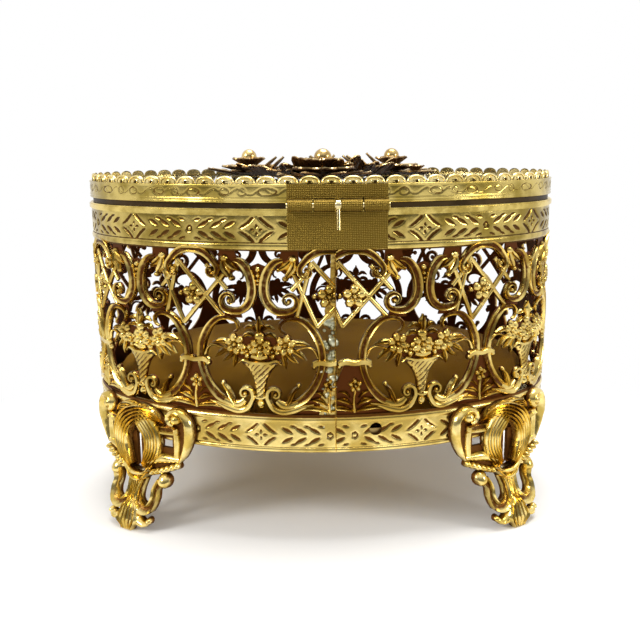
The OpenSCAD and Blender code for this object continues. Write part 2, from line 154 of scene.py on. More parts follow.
second = node_in(tree, "ShaderNodeMath", (-700, 700), operation="ADD", use_clamp=True)
share = node_in(tree, "ShaderNodeMath", (-500, 500), operation="MULTIPLY")
lit = node_in(tree, "ShaderNodeEmission", (-300, 500))
lit.inputs["Color"].default_value = (1, 1, 1, 1)
mixed = node_in(tree, "ShaderNodeMixShader", (100, 300))
wire_up(
    tree,
    (spot_on_floor, "Object", oval_way, 0), (oval_way, 0, far_off, 0),
    (far_off, "Value", beyond, "Value"), (ray, "Is Camera Ray", first, 0),
    (ray, "Is Glossy Ray", first, 1), (first, 0, second, 0), (ray, "Is Transmission Ray", second, 1),
    (beyond, 0, share, 0), (second, 0, share, 1), (share, 0, mixed, "Fac"),
    (tree.nodes["Principled BSDF"], 0, mixed, 1), (lit, 0, mixed, 2),
    (mixed, 0, tree.nodes["Material Output"], "Surface"),
)
floor_mesh.materials.append(paper)

# The wall: one strip of thin brass, pressed in relief, pierced between the ornament, gilt and
# bent round to a four-arc oval with its lapped seam by the hinge. Everything that runs round
# the box is drawn flat, length along X, height along Y, relief along Z, and laid on the oval.
half_l, half_d, join = 70.0, 50.0, math.radians(36)
end_r = (half_d - half_l * math.tan(join / 2)) / (1 - math.tan(join / 2))
end_x = half_l - end_r
side_r = end_r + end_x / math.sin(join)
side_y = side_r - half_d
side_len = side_r * join
quarter = side_len + end_r * (math.pi / 2 - join)
round_l = 4 * quarter
wall_foot = 26.0
seam_s = 3.802
seam_gap = 6.6
repeat_l = 37.376
flower_s = seam_s + 4.9
basket_s = flower_s + repeat_l / 2


def oval_at(s, out=0.0):
    s = (s + quarter) % round_l - quarter
    if s > quarter:
        x, y, nx, ny = oval_at(2 * quarter - s, out)
        return x, -y, nx, -ny
    if s < 0:
        x, y, nx, ny = oval_at(-s, out)
        return -x, y, -nx, ny
    if s <= side_len:
        a = s / side_r
        return (
            (side_r + out) * math.sin(a),
            side_y - (side_r + out) * math.cos(a),
            math.sin(a),
            -math.cos(a),
        )
    a = join + (s - side_len) / end_r
    return (
        end_x + (end_r + out) * math.sin(a),
        -(end_r + out) * math.cos(a),
        math.sin(a),
        -math.cos(a),
    )


line = bpy.data.curves.new("outline", "CURVE")
line.dimensions = "3D"
spline = line.splines.new("POLY")
spline.points.add(1199)
for i, point in enumerate(spline.points):
    x, y, nx, ny = oval_at(i * round_l / 1200)
    point.co = (x * mm, (y + centre_y) * mm, 0, 1)
spline.use_cyclic_u = True
outline = bpy.data.objects.new("outline", line)
scene.collection.objects.link(outline)

round_tree = bpy.data.node_groups.new("laid round the oval", "GeometryNodeTree")
round_sockets = {}
for label, kind in (
    ("Flat work", "NodeSocketGeometry"),
    ("Outline", "NodeSocketObject"),
    ("Repeats", "NodeSocketInt"),
    ("Pitch", "NodeSocketFloat"),
    ("Start", "NodeSocketFloat"),
    ("Foot", "NodeSocketFloat"),
    ("Metal", "NodeSocketMaterial"),
):
    made = round_tree.interface.new_socket(label, in_out="INPUT", socket_type=kind)
    round_sockets[label] = made.identifier
round_tree.interface.new_socket("Work", in_out="OUTPUT", socket_type="NodeSocketGeometry")
given = node_in(round_tree, "NodeGroupInput", (-1400, 0))
start = node_in(round_tree, "ShaderNodeCombineXYZ", (-1200, -100))
step = node_in(round_tree, "ShaderNodeCombineXYZ", (-1200, -250))
row = node_in(round_tree, "GeometryNodeMeshLine", (-1000, 0), mode="OFFSET")
copies = node_in(round_tree, "GeometryNodeInstanceOnPoints", (-800, 0))
whole = node_in(round_tree, "GeometryNodeRealizeInstances", (-600, 0))
place = node_in(round_tree, "GeometryNodeInputPosition", (-1200, -450))
flat_place = node_in(round_tree, "ShaderNodeSeparateXYZ", (-1000, -450))
route = node_in(round_tree, "GeometryNodeObjectInfo", (-1200, -650))
once_round = node_in(round_tree, "GeometryNodeCurveLength", (-1000, -750))
wrapped = node_in(round_tree, "ShaderNodeMath", (-800, -450), operation="WRAP")
along_route = node_in(round_tree, "GeometryNodeSampleCurve", (-600, -550), mode="LENGTH")
outward = node_in(round_tree, "ShaderNodeVectorMath", (-400, -450), operation="CROSS_PRODUCT")
even = node_in(round_tree, "ShaderNodeVectorMath", (-250, -450), operation="NORMALIZE")
proud = node_in(round_tree, "ShaderNodeVectorMath", (-100, -450), operation="SCALE")
height = node_in(round_tree, "ShaderNodeMath", (-400, -700), operation="ADD")
upright = node_in(round_tree, "ShaderNodeCombineXYZ", (-250, -700))
on_wall = node_in(round_tree, "ShaderNodeVectorMath", (50, -450), operation="ADD")
raised = node_in(round_tree, "ShaderNodeVectorMath", (200, -450), operation="ADD")
moved = node_in(round_tree, "GeometryNodeSetPosition", (400, 0))
plain = node_in(round_tree, "GeometryNodeRealizeInstances", (600, 0))
coated = node_in(round_tree, "GeometryNodeSetMaterial", (800, 0))
result = node_in(round_tree, "NodeGroupOutput", (1000, 0))
wrapped.inputs[2].default_value = 0.0
outward.inputs[1].default_value = (0, 0, 1)
wire_up(
    round_tree,
    (given, "Start", start, "X"), (given, "Pitch", step, "X"), (given, "Repeats", row, "Count"),
    (start, 0, row, "Start Location"), (step, 0, row, "Offset"), (row, "Mesh", copies, "Points"),
    (given, "Flat work", copies, "Instance"), (copies, 0, whole, "Geometry"), (place, 0, flat_place, 0),
    (given, "Outline", route, "Object"), (route, "Geometry", once_round, "Curve"),
    (flat_place, "X", wrapped, 0), (once_round, 0, wrapped, 1),
    (route, "Geometry", along_route, "Curves"), (wrapped, 0, along_route, "Length"),
    (along_route, "Tangent", outward, 0), (outward, 0, even, 0), (even, 0, proud, 0),
    (flat_place, "Z", proud, "Scale"), (flat_place, "Y", height, 0), (given, "Foot", height, 1),
    (height, 0, upright, "Z"), (along_route, "Position", on_wall, 0), (proud, 0, on_wall, 1),
    (on_wall, 0, raised, 0), (upright, 0, raised, 1), (whole, 0, moved, "Geometry"),
    (raised, 0, moved, "Position"), (moved, 0, plain, "Geometry"), (plain, 0, coated, "Geometry"),
    (given, "Metal", coated, "Material"), (coated, 0, result, 0),
)


def lay_round(name, flat, metal, foot, repeats=1, pitch=0.0, begin=0.0, crease=40):
    holder = bpy.data.objects.new(name + "_flat", flat)
    scene.collection.objects.link(holder)
    laid = holder.modifiers.new("round", "NODES")
    laid.node_group = round_tree
    for label, value in (
        ("Outline", outline),
        ("Repeats", repeats),
        ("Pitch", pitch * mm),
        ("Start", begin * mm),
        ("Foot", foot * mm),
        ("Metal", metal),
    ):
        laid[round_sockets[label]] = value
    graph = bpy.context.evaluated_depsgraph_get()
    mesh = bpy.data.meshes.new_from_object(
        holder.evaluated_get(graph), preserve_all_data_layers=True, depsgraph=graph
    )
    bpy.data.objects.remove(holder)
    work = bmesh.new()
    work.from_mesh(mesh)
    bmesh.ops.remove_doubles(work, verts=work.verts, dist=2e-6)
    for face in work.faces:
        face.material_index = 0
    work.to_mesh(mesh)
    work.free()
    mesh.materials.clear()
    mesh.materials.append(metal)
    mesh.set_sharp_from_angle(angle=math.radians(crease))
    mesh.name = name
    piece = bpy.data.objects.new(name, mesh)
    scene.collection.objects.link(piece)
    return piece


class Relief:
    """Closed raised shapes on a flat strip, in millimetres, each point with its rise from 0 to 1."""

    def __init__(self):
        self.points = []
        self.faces = []
        self.rises = []

    def add(self, points, faces, rises):
        first = len(self.points)
        self.points += points
        self.rises += rises
        self.faces += [[first + i for i in face] for face in faces]

    def mesh(self, name):
        flat = bpy.data.meshes.new(name)
        flat.from_pydata([[c * mm for c in p] for p in self.points], [], self.faces)
        rise = flat.attributes.new("rise", "FLOAT", "POINT")
        rise.data.foreach_set("value", self.rises)
        work = bmesh.new()
        work.from_mesh(flat)
        bmesh.ops.recalc_face_normals(work, faces=work.faces)
        for face in work.faces:
            face.smooth = True
        work.to_mesh(flat)
        work.free()
        return flat


def between(values, t):
    spot = t * (len(values) - 1)
    i = min(int(spot), len(values) - 2)
    f = spot - i
    f = f * f * (3 - 2 * f)
    return values[i] * (1 - f) + values[i + 1] * f


def flowing(points, steps):
    """Evenly spaced points of a smooth line through the given ones."""
    ends = [[2 * a - b for a, b in zip(points[0], points[1])]]
    last = [[2 * a - b for a, b in zip(points[-1], points[-2])]]
    p = ends + [list(q) for q in points] + last
    fine = []
    for i in range(1, len(p) - 2):
        for k in range(12):
            t = k / 12
            fine.append([
                0.5 * (2 * b + (c - a) * t + (2 * a - 5 * b + 4 * c - d) * t * t
                       + (3 * b - a - 3 * c + d) * t ** 3)
                for a, b, c, d in zip(p[i - 1], p[i], p[i + 1], p[i + 2])
            ])
    fine.append(list(points[-1]))
    far = [0.0]
    for a, b in zip(fine, fine[1:]):
        far.append(far[-1] + math.dist(a, b))
    out, i = [], 0
    for k in range(steps + 1):
        goal = far[-1] * k / steps
        while i < len(far) - 2 and far[i + 1] < goal:
            i += 1
        f = (goal - far[i]) / max(far[i + 1] - far[i], 1e-9)
        out.append([a + (b - a) * f for a, b in zip(fine[i], fine[i + 1])])
    return out


# The third number of each section point is its rise. It is low at a band's foot and in its groove, so
# lacquer and painted shade go along the edges, in the grooves and over the band's back, which is the
# wall's dark inner face.
rounded = [(-1, 0, 0.1), (-0.9, 0.45, 0.5), (-0.5, 0.88, 0.9), (0, 1, 1),
           (0.5, 0.88, 0.9), (0.9, 0.45, 0.5), (1, 0, 0.1)]
channelled = [(-1, 0, 0.1), (-0.97, 0.6, 0.6), (-0.8, 1, 1), (-0.55, 0.82, 0.62), (-0.2, 0.5, 0.3),
              (0.2, 0.5, 0.3), (0.55, 0.82, 0.62), (0.8, 1, 1), (0.97, 0.6, 0.6), (1, 0, 0.1)]
veined = [(-1, 0, 0.1), (-0.92, 0.42, 0.7), (-0.5, 0.95, 1), (0, 0.55, 0.25),
          (0.5, 0.95, 1), (0.92, 0.42, 0.7), (1, 0, 0.1)]


def band_of(relief, points, widths, heights, steps=12, section=rounded, base=-1.3):
    """A raised band along a smooth line, as wide and high as the given values say."""
    path = flowing(points, steps)
    found, faces, rises = [], [], []
    for k, (u, v) in enumerate(path):
        a, b = path[max(k - 1, 0)], path[min(k + 1, steps)]
        size = math.dist(a, b) or 1
        across = (-(b[1] - a[1]) / size, (b[0] - a[0]) / size)
        half = between(widths, k / steps) / 2
        high = between(heights, k / steps)
        for x, y, r in section:
            found.append((u + across[0] * half * x, v + across[1] * half * x, base + high * y))
            rises.append(r)
    m = len(section)
    for k in range(steps):
        for j in range(m):
            n = (j + 1) % m
            faces.append([k * m + j, (k + 1) * m + j, (k + 1) * m + n, k * m + n])
    faces.append(list(range(m)))
    faces.append([steps * m + j for j in range(m)][::-1])
    relief.add(found, faces, rises)


def knob(relief, u, v, ru, rv, top, turn=0.0, sides=8, base=-1.3, rings=2):
    """A raised round or oval boss, such as a bead, a berry or one petal."""
    c, s = math.cos(turn), math.sin(turn)
    found, faces, rises = [], [], []
    for k in range(rings + 1):
        a = k / (rings + 0.6) * math.pi / 2
        for j in range(sides):
            t = j * 2 * math.pi / sides
            x, y = ru * math.cos(a) * math.cos(t), rv * math.cos(a) * math.sin(t)
            found.append((u + c * x - s * y, v + s * x + c * y, base + (top - base) * math.sin(a)))
            # The low rise at the boss's foot puts lacquer and painted shade round it.
            rises.append(0.05 + 0.95 * k / rings)
    for k in range(rings):
        for j in range(sides):
            n = (j + 1) % sides
            faces.append([k * sides + j, k * sides + n, (k + 1) * sides + n, (k + 1) * sides + j])
    faces.append([rings * sides + j for j in range(sides)])
    faces.append(list(range(sides))[::-1])
    relief.add(found, faces, rises)


def blossom(relief, u, v, r, petals, top, turn=0.0):
    for i in range(petals):
        a = turn + i * 2 * math.pi / petals
        knob(relief, u + r * 0.62 * math.cos(a), v + r * 0.62 * math.sin(a),
             r * 0.52, r * 0.44, top - 0.15 + 0.12 * (i % 2), a, 7)
    knob(relief, u, v, r * 0.28, r * 0.28, top + 0.15, 0, 7)


def ground(relief, points, back=-1.3, front=-0.75, rise=0.0):
    """A patch of the strip's own metal, left flat between the ornament; its rise, 0 by default, gives it
    lacquer and painted shade.
    """
    m = len(points)
    found = [(u, v, back) for u, v in points] + [(u, v, front) for u, v in points]
    faces = [list(range(m))[::-1], list(range(m, 2 * m))]
    faces += [[j, (j + 1) % m, m + (j + 1) % m, m + j] for j in range(m)]
    relief.add(found, faces, [rise] * 2 * m)


def scroll_end(centre, radius, begin, turn, steps=7, inner=0.3):
    """Points of a line that curls in on itself round a centre."""
    found = []
    for k in range(steps + 1):
        t = k / steps
        r = radius * (1 - t) + radius * inner * t
        a = math.radians(begin + turn * t)
        found.append((centre[0] + r * math.cos(a), centre[1] + r * math.sin(a)))
    return found


def sided(points, side):
    return [(u * side, v) for u, v in points]


gilding = bpy.data.node_groups.new("aged gilding with painted shade", "ShaderNodeTree")
for label, kind, value in (
    ("Bright", "NodeSocketColor", (0.9, 0.68, 0.2, 1)),
    ("Dull", "NodeSocketColor", (0.6, 0.42, 0.08, 1)),
    ("Lacquer and shade", "NodeSocketColor", (0.2, 0.06, 0.015, 1)),
    ("Rise", "NodeSocketFloat", 1.0),
    ("Reach", "NodeSocketFloat", 0.3),
    ("Patches", "NodeSocketFloat", 120.0),
    ("Polish", "NodeSocketFloat", 0.2),
):
    made = gilding.interface.new_socket(label, in_out="INPUT", socket_type=kind)
    made.default_value = value
for label, kind in (
    ("Colour", "NodeSocketColor"),
    ("Roughness", "NodeSocketFloat"),
    ("Grain", "NodeSocketFloat"),
):
    gilding.interface.new_socket(label, in_out="OUTPUT", socket_type=kind)
given = node_in(gilding, "NodeGroupInput", (-1200, 0))
where = node_in(gilding, "ShaderNodeTexCoord", (-1200, -400))
patch = node_in(gilding, "ShaderNodeTexNoise", (-1000, -200))
patch.inputs["Detail"].default_value = 3
speck = node_in(gilding, "ShaderNodeTexNoise", (-1000, -450))
fill(speck, {"Scale": 900, "Detail": 2})
level = node_in(gilding, "ShaderNodeMath", (-800, -450), operation="MULTIPLY_ADD")
level.inputs[1].default_value = 0.5
cut = node_in(gilding, "ShaderNodeMath", (-600, -450), operation="SUBTRACT")
# Where the rise, with a fine speckle added, falls below the reach, the lacquer colour goes on. It is
# partly lacquer left in the hollows and partly painted shade: in the recesses, at the feet of the raised
# work and on its backs.
bare_and_unshaded = node_in(gilding, "ShaderNodeMapRange", (-400, -450), interpolation_type="SMOOTHSTEP")
fill(bare_and_unshaded, {"From Min": 0.1, "From Max": 0.45})
worn = node_in(gilding, "ShaderNodeMapRange", (-800, -200), interpolation_type="SMOOTHSTEP")
fill(worn, {"From Min": 0.38, "From Max": 0.62})
gold = node_in(gilding, "ShaderNodeMix", (-400, 0), data_type="RGBA")
colour = node_in(gilding, "ShaderNodeMix", (-200, 0), data_type="RGBA")
rough = node_in(gilding, "ShaderNodeMapRange", (-200, -300))
fill(rough, {"From Min": 0.0, "From Max": 1.0, "To Min": 0.48})
result = node_in(gilding, "NodeGroupOutput", (100, 0))
wire_up(
    gilding,
    (where, "Object", patch, "Vector"), (given, "Patches", patch, "Scale"),
    (where, "Object", speck, "Vector"), (speck, "Fac", level, 0), (given, "Rise", level, 2),
    (level, 0, cut, 0), (given, "Reach", cut, 1), (cut, 0, bare_and_unshaded, "Value"),
    (patch, "Fac", worn, "Value"), (worn, 0, gold, "Factor"), (given, "Dull", gold, "A"),
    (given, "Bright", gold, "B"), (bare_and_unshaded, 0, colour, "Factor"), (given, "Lacquer and shade", colour, "A"),
    (gold, "Result", colour, "B"), (bare_and_unshaded, 0, rough, "Value"), (given, "Polish", rough, "To Max"),
    (colour, "Result", result, "Colour"), (rough, 0, result, "Roughness"),
    (speck, "Fac", result, "Grain"),
)


def gilt(name, bright, dull, lacquer_and_shade, reach=0.3, patches=120.0, polish=0.2, grain=0.00004):
    """A gilded metal: bright where it stands proud, lacquered and darkened with painted shade where the
    rise is low.
    """
    metal = bpy.data.materials.new(name)
    metal.use_nodes = True
    tree = metal.node_tree
    shader = tree.nodes["Principled BSDF"]
    shader.inputs["Metallic"].default_value = 1.0
    coat = node_in(tree, "ShaderNodeGroup", (-500, 100), node_tree=gilding)
    fill(coat, {"Bright": (*bright, 1), "Dull": (*dull, 1), "Lacquer and shade": (*lacquer_and_shade, 1), "Reach": reach,
                "Patches": patches, "Polish": polish})
    rise = node_in(tree, "ShaderNodeAttribute", (-700, 0), attribute_name="rise")
    bump = node_in(tree, "ShaderNodeBump", (-250, -300))
    fill(bump, {"Strength": 0.6, "Distance": grain})
    wire_up(
        tree,
        (rise, "Fac", coat, "Rise"), (coat, "Colour", shader, "Base Color"),
        (coat, "Roughness", shader, "Roughness"), (coat, "Grain", bump, "Height"),
        (bump, 0, shader, "Normal"),
    )
    return metal


wall_gilt = gilt("wall gilding", (0.82, 0.62, 0.2), (0.42, 0.27, 0.05), (0.1, 0.03, 0.007), 0.42)


def basket_work(relief):
    """A flower basket in its scroll frame, from its axis to half a repeat each side."""
    for side in (-1, 1):
        frame_line = [(7.0, 32.5), (5.9, 33.1), (5.6, 34.5), (6.6, 35.8), (8.8, 36.5), (11.5, 36.0),
                      (14.1, 33.6), (16.0, 30.0), (16.7, 26.8), (16.6, 23.9), (16.0, 21.4),
                      (14.9, 18.8), (13.2, 16.3), (11.2, 14.4), (8.9, 13.2)]
        band_of(relief, sided(frame_line, side), [0.6, 1.0, 1.4, 1.9, 2.2, 2.3, 2.2, 2.0, 2.2, 2.4, 2.0],
                [0.8, 1.2, 1.5, 1.6, 1.6, 1.5, 1.4, 1.4, 1.5, 1.5, 1.1], 34, channelled)
        foot_line = [(14.4, 13.3), (11.8, 12.6), (8.8, 11.5), (5.8, 11.0), (3.4, 12.1), (2.1, 14.5)]
        foot_line += scroll_end((4.1, 15.9), 2.2, 195, -330, 9, 0.25)
        band_of(relief, sided(foot_line, side), [0.6, 1.6, 2.2, 2.2, 2.0, 1.8, 1.6, 1.3, 1.0, 0.7],
                [1.0, 1.2, 1.4, 1.5, 1.5, 1.6, 1.7, 1.8, 1.9, 1.9], 30, rounded)
        knob(relief, side * 4.2, 15.9, 0.8, 0.8, 0.35)
        band_of(relief, sided([(10.4, 13.4), (8.2, 12.6), (6.0, 12.7), (4.4, 14.0)], side),
                [2.2, 2.6, 2.6, 1.8], [0.9, 1.0, 1.0, 0.8], 8, rounded)
        band_of(relief, sided([(7.2, 12.9), (8.1, 14.7), (9.0, 16.6), (10.6, 18.4)], side),
                [1.2, 1.8, 1.5, 0.8], [1.2, 1.6, 1.6, 1.2], 10, veined)
        knob(relief, side * 10.4, 18.5, 0.75, 0.75, 0.25)
        scroll_line = [(6.6, 51.7), (4.7, 51.2), (2.9, 49.3), (1.8, 46.4), (1.6, 43.2), (2.6, 40.3),
                       (4.6, 38.5), (6.6, 38.2)]
        scroll_line += scroll_end((8.0, 41.0), 2.7, -95, 400, 11, 0.2)
        band_of(relief, sided(scroll_line, side),
                [1.2, 2.2, 2.7, 2.8, 2.8, 2.5, 2.1, 1.8, 1.5, 1.3, 1.0, 0.7],
                [1.0, 1.4, 1.6, 1.7, 1.7, 1.6, 1.5, 1.5, 1.6, 1.7, 1.8, 1.8], 40, channelled)
        knob(relief, side * 8.1, 40.9, 0.75, 0.75, 0.45)
        band_of(relief, sided([(9.6, 51.4), (9.2, 49.6), (8.0, 47.9), (7.4, 46.9)], side),
                [1.4, 3.2, 2.6, 1.2], [1.3, 1.6, 1.5, 1.2], 9, veined)
        band_of(relief, sided([(9.0, 51.9), (7.2, 50.2), (5.0, 48.9)], side),
                [1.4, 2.4, 0.9], [1.4, 1.5, 1.1], 7, veined)
        knob(relief, side * 9.2, 52.0, 1.4, 1.2, 0.4)
        knob(relief, side * 7.2, 46.8, 0.95, 0.8, 0.3)
        ground(relief, sided([(4.6, 36.4), (9.8, 36.4), (9.2, 38.6), (5.2, 38.8)], side))
        ground(relief, sided([(5.0, 49.6), (8.8, 46.8), (11.0, 50.0), (10.6, 54.6), (6.4, 54.6)], side))
        for points, wide in (
            ([(7.2, 29.2), (10.0, 30.0), (13.4, 29.4)], 1.7),
            ([(7.4, 28.6), (10.4, 27.2), (12.6, 25.3)], 1.6),
            ([(6.6, 28.0), (8.6, 25.8), (10.4, 24.5)], 1.5),
            ([(6.0, 27.6), (6.8, 25.2), (7.2, 22.9)], 1.5),
            ([(0.9, 33.0), (2.3, 34.3), (4.2, 33.5)], 1.2),
            ([(1.0, 31.6), (3.0, 32.2), (5.0, 31.0)], 1.3),
            ([(2.4, 27.4), (3.6, 25.9), (4.6, 24.6)], 1.2),
        ):
            band_of(relief, sided(points, side), [0.35, wide, wide, 0.25], [1.0, 1.3, 1.3, 0.8], 7,
                    veined)
        band_of(relief, sided([(15.6, 26.0), (14.6, 28.0), (12.8, 28.8), (9.6, 28.0)], side),
                [1.0, 0.8, 0.6, 0.5], [1.1, 1.1, 1.0, 0.9], 8)
        band_of(relief, sided([(0.0, 24.4), (2.2, 24.5), (4.4, 25.2), (5.9, 24.1)], side),
                [1.3, 1.3, 1.1, 0.6], [1.7, 1.7, 1.6, 1.2], 8)
        blossom(relief, side * 6.9, 29.2, 2.9, 6, 0.25, 0.3 * side)
        blossom(relief, side * 3.5, 27.6, 2.1, 5, 0.1, 1.0)
    blossom(relief, 0.2, 28.6, 3.0, 6, 0.3, 0.5)
    knob(relief, 0, 31.6, 1.7, 1.5, 0.25, 0, 10)
    band_of(relief, [(0, 32.4), (0, 34.6), (0, 36.8)], [1.2, 2.5, 0.3], [1.5, 1.7, 1.2], 7, veined)
    band_of(relief, [(-2.2, 26.2), (0.0, 25.7), (2.2, 26.2)], [1.4, 1.6, 1.4], [1.3, 1.4, 1.3], 6)
    rows, cols = 16, 13
    found, rises = [], []
    for i in range(rows + 1):
        t = i / rows
        half = 1.35 + 0.5 * t + 3.3 * t ** 3.2
        for j in range(cols + 1):
            x = 2 * j / cols - 1
            v = 15.3 + 8.9 * t
            weave = 0.5 + 0.5 * math.sin((v * 1.05 - x * half * 1.0) * 4.2)
            dome = math.sqrt(max(0.0, 1 - x * x))
            found.append((x * half, v, -1.3 + (1.15 + 0.45 * weave) * dome))
            rises.append(min(1.0, 0.2 + 0.8 * weave) if abs(x) < 0.99 else 0.2)
    faces = [
        [i * (cols + 1) + j, i * (cols + 1) + j + 1,
         (i + 1) * (cols + 1) + j + 1, (i + 1) * (cols + 1) + j]
        for i in range(rows) for j in range(cols)
    ]
    edge = list(range(cols + 1)) + [i * (cols + 1) + cols for i in range(1, rows + 1)]
    edge += [rows * (cols + 1) + j for j in range(cols - 1, -1, -1)]
    edge += [i * (cols + 1) for i in range(rows - 1, 0, -1)]
    first = len(found)
    found += [(found[e][0], found[e][1], -1.35) for e in edge]
    rises += [0.0] * len(edge)
    for k in range(len(edge)):
        n = (k + 1) % len(edge)
        faces.append([edge[k], first + k, first + n, edge[n]])
    faces.append([first + k for k in range(len(edge))])
    relief.add(found, faces, rises)
    band_of(relief, [(-1.9, 15.3), (0, 14.9), (1.9, 15.3)], [0.9, 1.1, 0.9], [1.5, 1.7, 1.5], 6)
    knob(relief, 0, 13.3, 1.25, 1.5, 0.3, 0, 10)
    for v, r in ((49.2, 0.95), (47.7, 0.8), (46.4, 0.65), (45.4, 0.5)):
        knob(relief, 0, v, r, r, -0.1 + r * 0.3)
    ground(relief, [(-2.6, 49.8), (-2.0, 46.4), (0.0, 43.9), (2.0, 46.4), (2.6, 49.8), (0.0, 50.8)])
    ground(relief, [(-9.6, 29.2), (-7.0, 26.2), (-4.4, 25.0), (4.4, 25.0), (7.0, 26.2), (9.6, 29.2),
                    (6.4, 31.6), (2.2, 31.2), (0.0, 33.4), (-2.2, 31.2), (-6.4, 31.6)])


def trellis_work(relief):
    """The trellis under its arch, the tie and the small flower, half a repeat each way."""
    for side in (-1, 1):
        arch = [(-0.4 * side, 54.3), (2.6, 54.0), (5.0, 52.7), (6.9, 50.7)]
        arch += scroll_end((5.9, 48.8), 1.9, 25, -370, 9, 0.25)
        band_of(relief, sided(arch, side), [2.3, 2.4, 2.2, 1.9, 1.6, 1.3, 1.0, 0.7],
                [1.5, 1.6, 1.6, 1.6, 1.6, 1.7, 1.7, 1.7], 24, channelled)
        knob(relief, side * 5.8, 48.8, 0.7, 0.7, 0.3)
        for a, b in (
            ((-4.6 * side, 51.2), (8.6, 36.8)),
            ((9.2, 47.9), (-3.2 * side, 34.2)),
            ((4.2, 50.2), (9.9, 43.8)),
        ):
            middle = ((a[0] + b[0]) / 2, (a[1] + b[1]) / 2)
            band_of(relief, sided([a, middle, b], side), [1.35] * 3, [0.95] * 3, 6)
        for u, v in ((7.7, 46.2), (3.9, 42.2)):
            knob(relief, side * u, v, 0.8, 0.8, -0.2, 0.8)
        band_of(relief, sided([(1.0, 15.0), (2.6, 16.6), (4.4, 16.7)], side),
                [0.5, 1.2, 0.4], [1.0, 1.3, 0.9], 6, veined)
        band_of(relief, sided([(0.6, 13.0), (2.8, 14.4), (5.4, 14.6)], side),
                [0.6, 2.1, 0.4], [1.1, 1.5, 1.0], 7, veined)
        band_of(relief, sided([(0.3, 11.4), (3.2, 12.2), (6.2, 12.3), (9.6, 11.4)], side),
                [0.8, 2.0, 1.8, 0.5], [1.1, 1.4, 1.3, 0.9], 9, veined)
        ground(relief, sided([(0.0, 23.6), (3.0, 23.6), (4.6, 19.5), (6.8, 16.2), (10.2, 13.0),
                              (13.6, 12.4), (14.0, 10.2), (0.0, 10.2)], side))
        knob(relief, side * 4.1, 23.7, 0.8, 0.9, 0.45)
    for v in (46.2, 37.9):
        knob(relief, 0, v, 0.8, 0.8, -0.2, 0.8)
    blossom(relief, 0, 42.2, 3.1, 5, 0.2, 0.3)
    for i in range(9):
        a = i * 2.4
        knob(relief, 0.5 * math.sqrt(i) * math.cos(a), 42.2 + 0.5 * math.sqrt(i) * math.sin(a),
             0.28, 0.28, 0.5, 0, 5, -0.4, 1)
    ground(relief, [(0, 45.4), (-3.4, 42.2), (0, 39.0), (3.4, 42.2)], -1.3, -0.9)
    band_of(relief, [(-4.2, 24.2), (-2.4, 24.8), (0, 24.4), (2.4, 24.8), (4.2, 24.2)],
            [1.9, 2.3, 2.0, 2.3, 1.9], [1.7, 1.9, 1.9, 1.9, 1.7], 10)
    blossom(relief, 0.2, 18.4, 2.0, 5, 0.15, 0.4)
    band_of(relief, [(0.2, 17.2), (-0.2, 14.4), (0, 11.0)], [0.8, 0.9, 1.1], [1.1, 1.2, 1.2], 6)


def cut_flat(flat, u, keep):
    """The same flat work cut off square at u, with the cut closed. keep -1 is what lies before."""
    part = flat.copy()
    work = bmesh.new()
    work.from_mesh(part)
    done = bmesh.ops.bisect_plane(
        work, geom=work.verts[:] + work.edges[:] + work.faces[:], plane_co=(u * mm, 0, 0),
        plane_no=(1, 0, 0), clear_inner=keep > 0, clear_outer=keep < 0,
    )
    rim = [e for e in done["geom_cut"] if isinstance(e, bmesh.types.BMEdge)]
    bmesh.ops.holes_fill(work, edges=rim, sides=0)
    work.to_mesh(part)
    work.free()
    return part


def held_in(relief, most=0.22):
    """Keeps the relief under the rim's overhang, so that nothing stands out past it."""
    relief.points = [(u, v, min(w, most)) for u, v, w in relief.points]


basket_relief = Relief()
basket_work(basket_relief)
held_in(basket_relief)
baskets = lay_round("wall_baskets", basket_relief.mesh("basket"), wall_gilt, wall_foot, 10, repeat_l,
                    basket_s)
trellis_relief = Relief()
trellis_work(trellis_relief)
held_in(trellis_relief)
trellis_flat = trellis_relief.mesh("trellis")
trellises = lay_round("wall_trellises", trellis_flat, wall_gilt, wall_foot, 9, repeat_l,
                      flower_s + repeat_l)
first_trellis = lay_round("wall_trellis_after_seam", cut_flat(trellis_flat, -4.9, 1), wall_gilt,
                          wall_foot, 1, 0, flower_s)
last_trellis = lay_round("wall_trellis_before_seam", cut_flat(trellis_flat, 1.7, -1), wall_gilt,
                         wall_foot, 1, 0, flower_s - seam_gap)
for piece in (baskets, trellises, first_trellis, last_trellis):
    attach(piece, "body")


def strip(relief, begin, end, heights, shape, back, step=0.3):
    """One closed strip of sheet whose face is raised as shape(u, v) says: the relief and the rise."""
    cols = round((end - begin) / step)
    rows = len(heights)
    found, rises, faces = [], [], []
    for i in range(cols + 1):
        u = begin + (end - begin) * i / cols
        for v in heights:
            w, r = shape(u, v)
            found.append((u, v, w))
            rises.append(r)
    back_first = len(found)
    for i in range(cols + 1):
        u = begin + (end - begin) * i / cols
        found += [(u, heights[0], back), (u, heights[-1], back)]
        rises += [0.6, 0.6]
    for i in range(cols):
        a, b = i * rows, (i + 1) * rows
        faces += [[a + j, b + j, b + j + 1, a + j + 1] for j in range(rows - 1)]
        p, q = back_first + 2 * i, back_first + 2 * i + 2
        faces += [[p, q, b, a], [a + rows - 1, b + rows - 1, q + 1, p + 1], [p, p + 1, q + 1, q]]
    for i, flip in ((0, 1), (cols, -1)):
        side = [i * rows + j for j in range(rows)] + [back_first + 2 * i + 1, back_first + 2 * i]
        faces.append(side[::flip])
    relief.add(found, faces, rises)


def half_round(v, middle, half):
    x = abs(v - middle) / half
    return math.sqrt(1 - x * x) if x < 1 else 0.0


def spot(x, y, turn, long, wide):
    """How deep a point lies in an almond-shaped graver's cut: 1 in its middle, 0 outside."""
    c, s = math.cos(turn), math.sin(turn)
    a, b = abs(c * x + s * y) / long, abs(c * y - s * x) / wide
    return max(0.0, min(1.0, (1 - a * a - b) * 2.2)) if a < 1 else 0.0


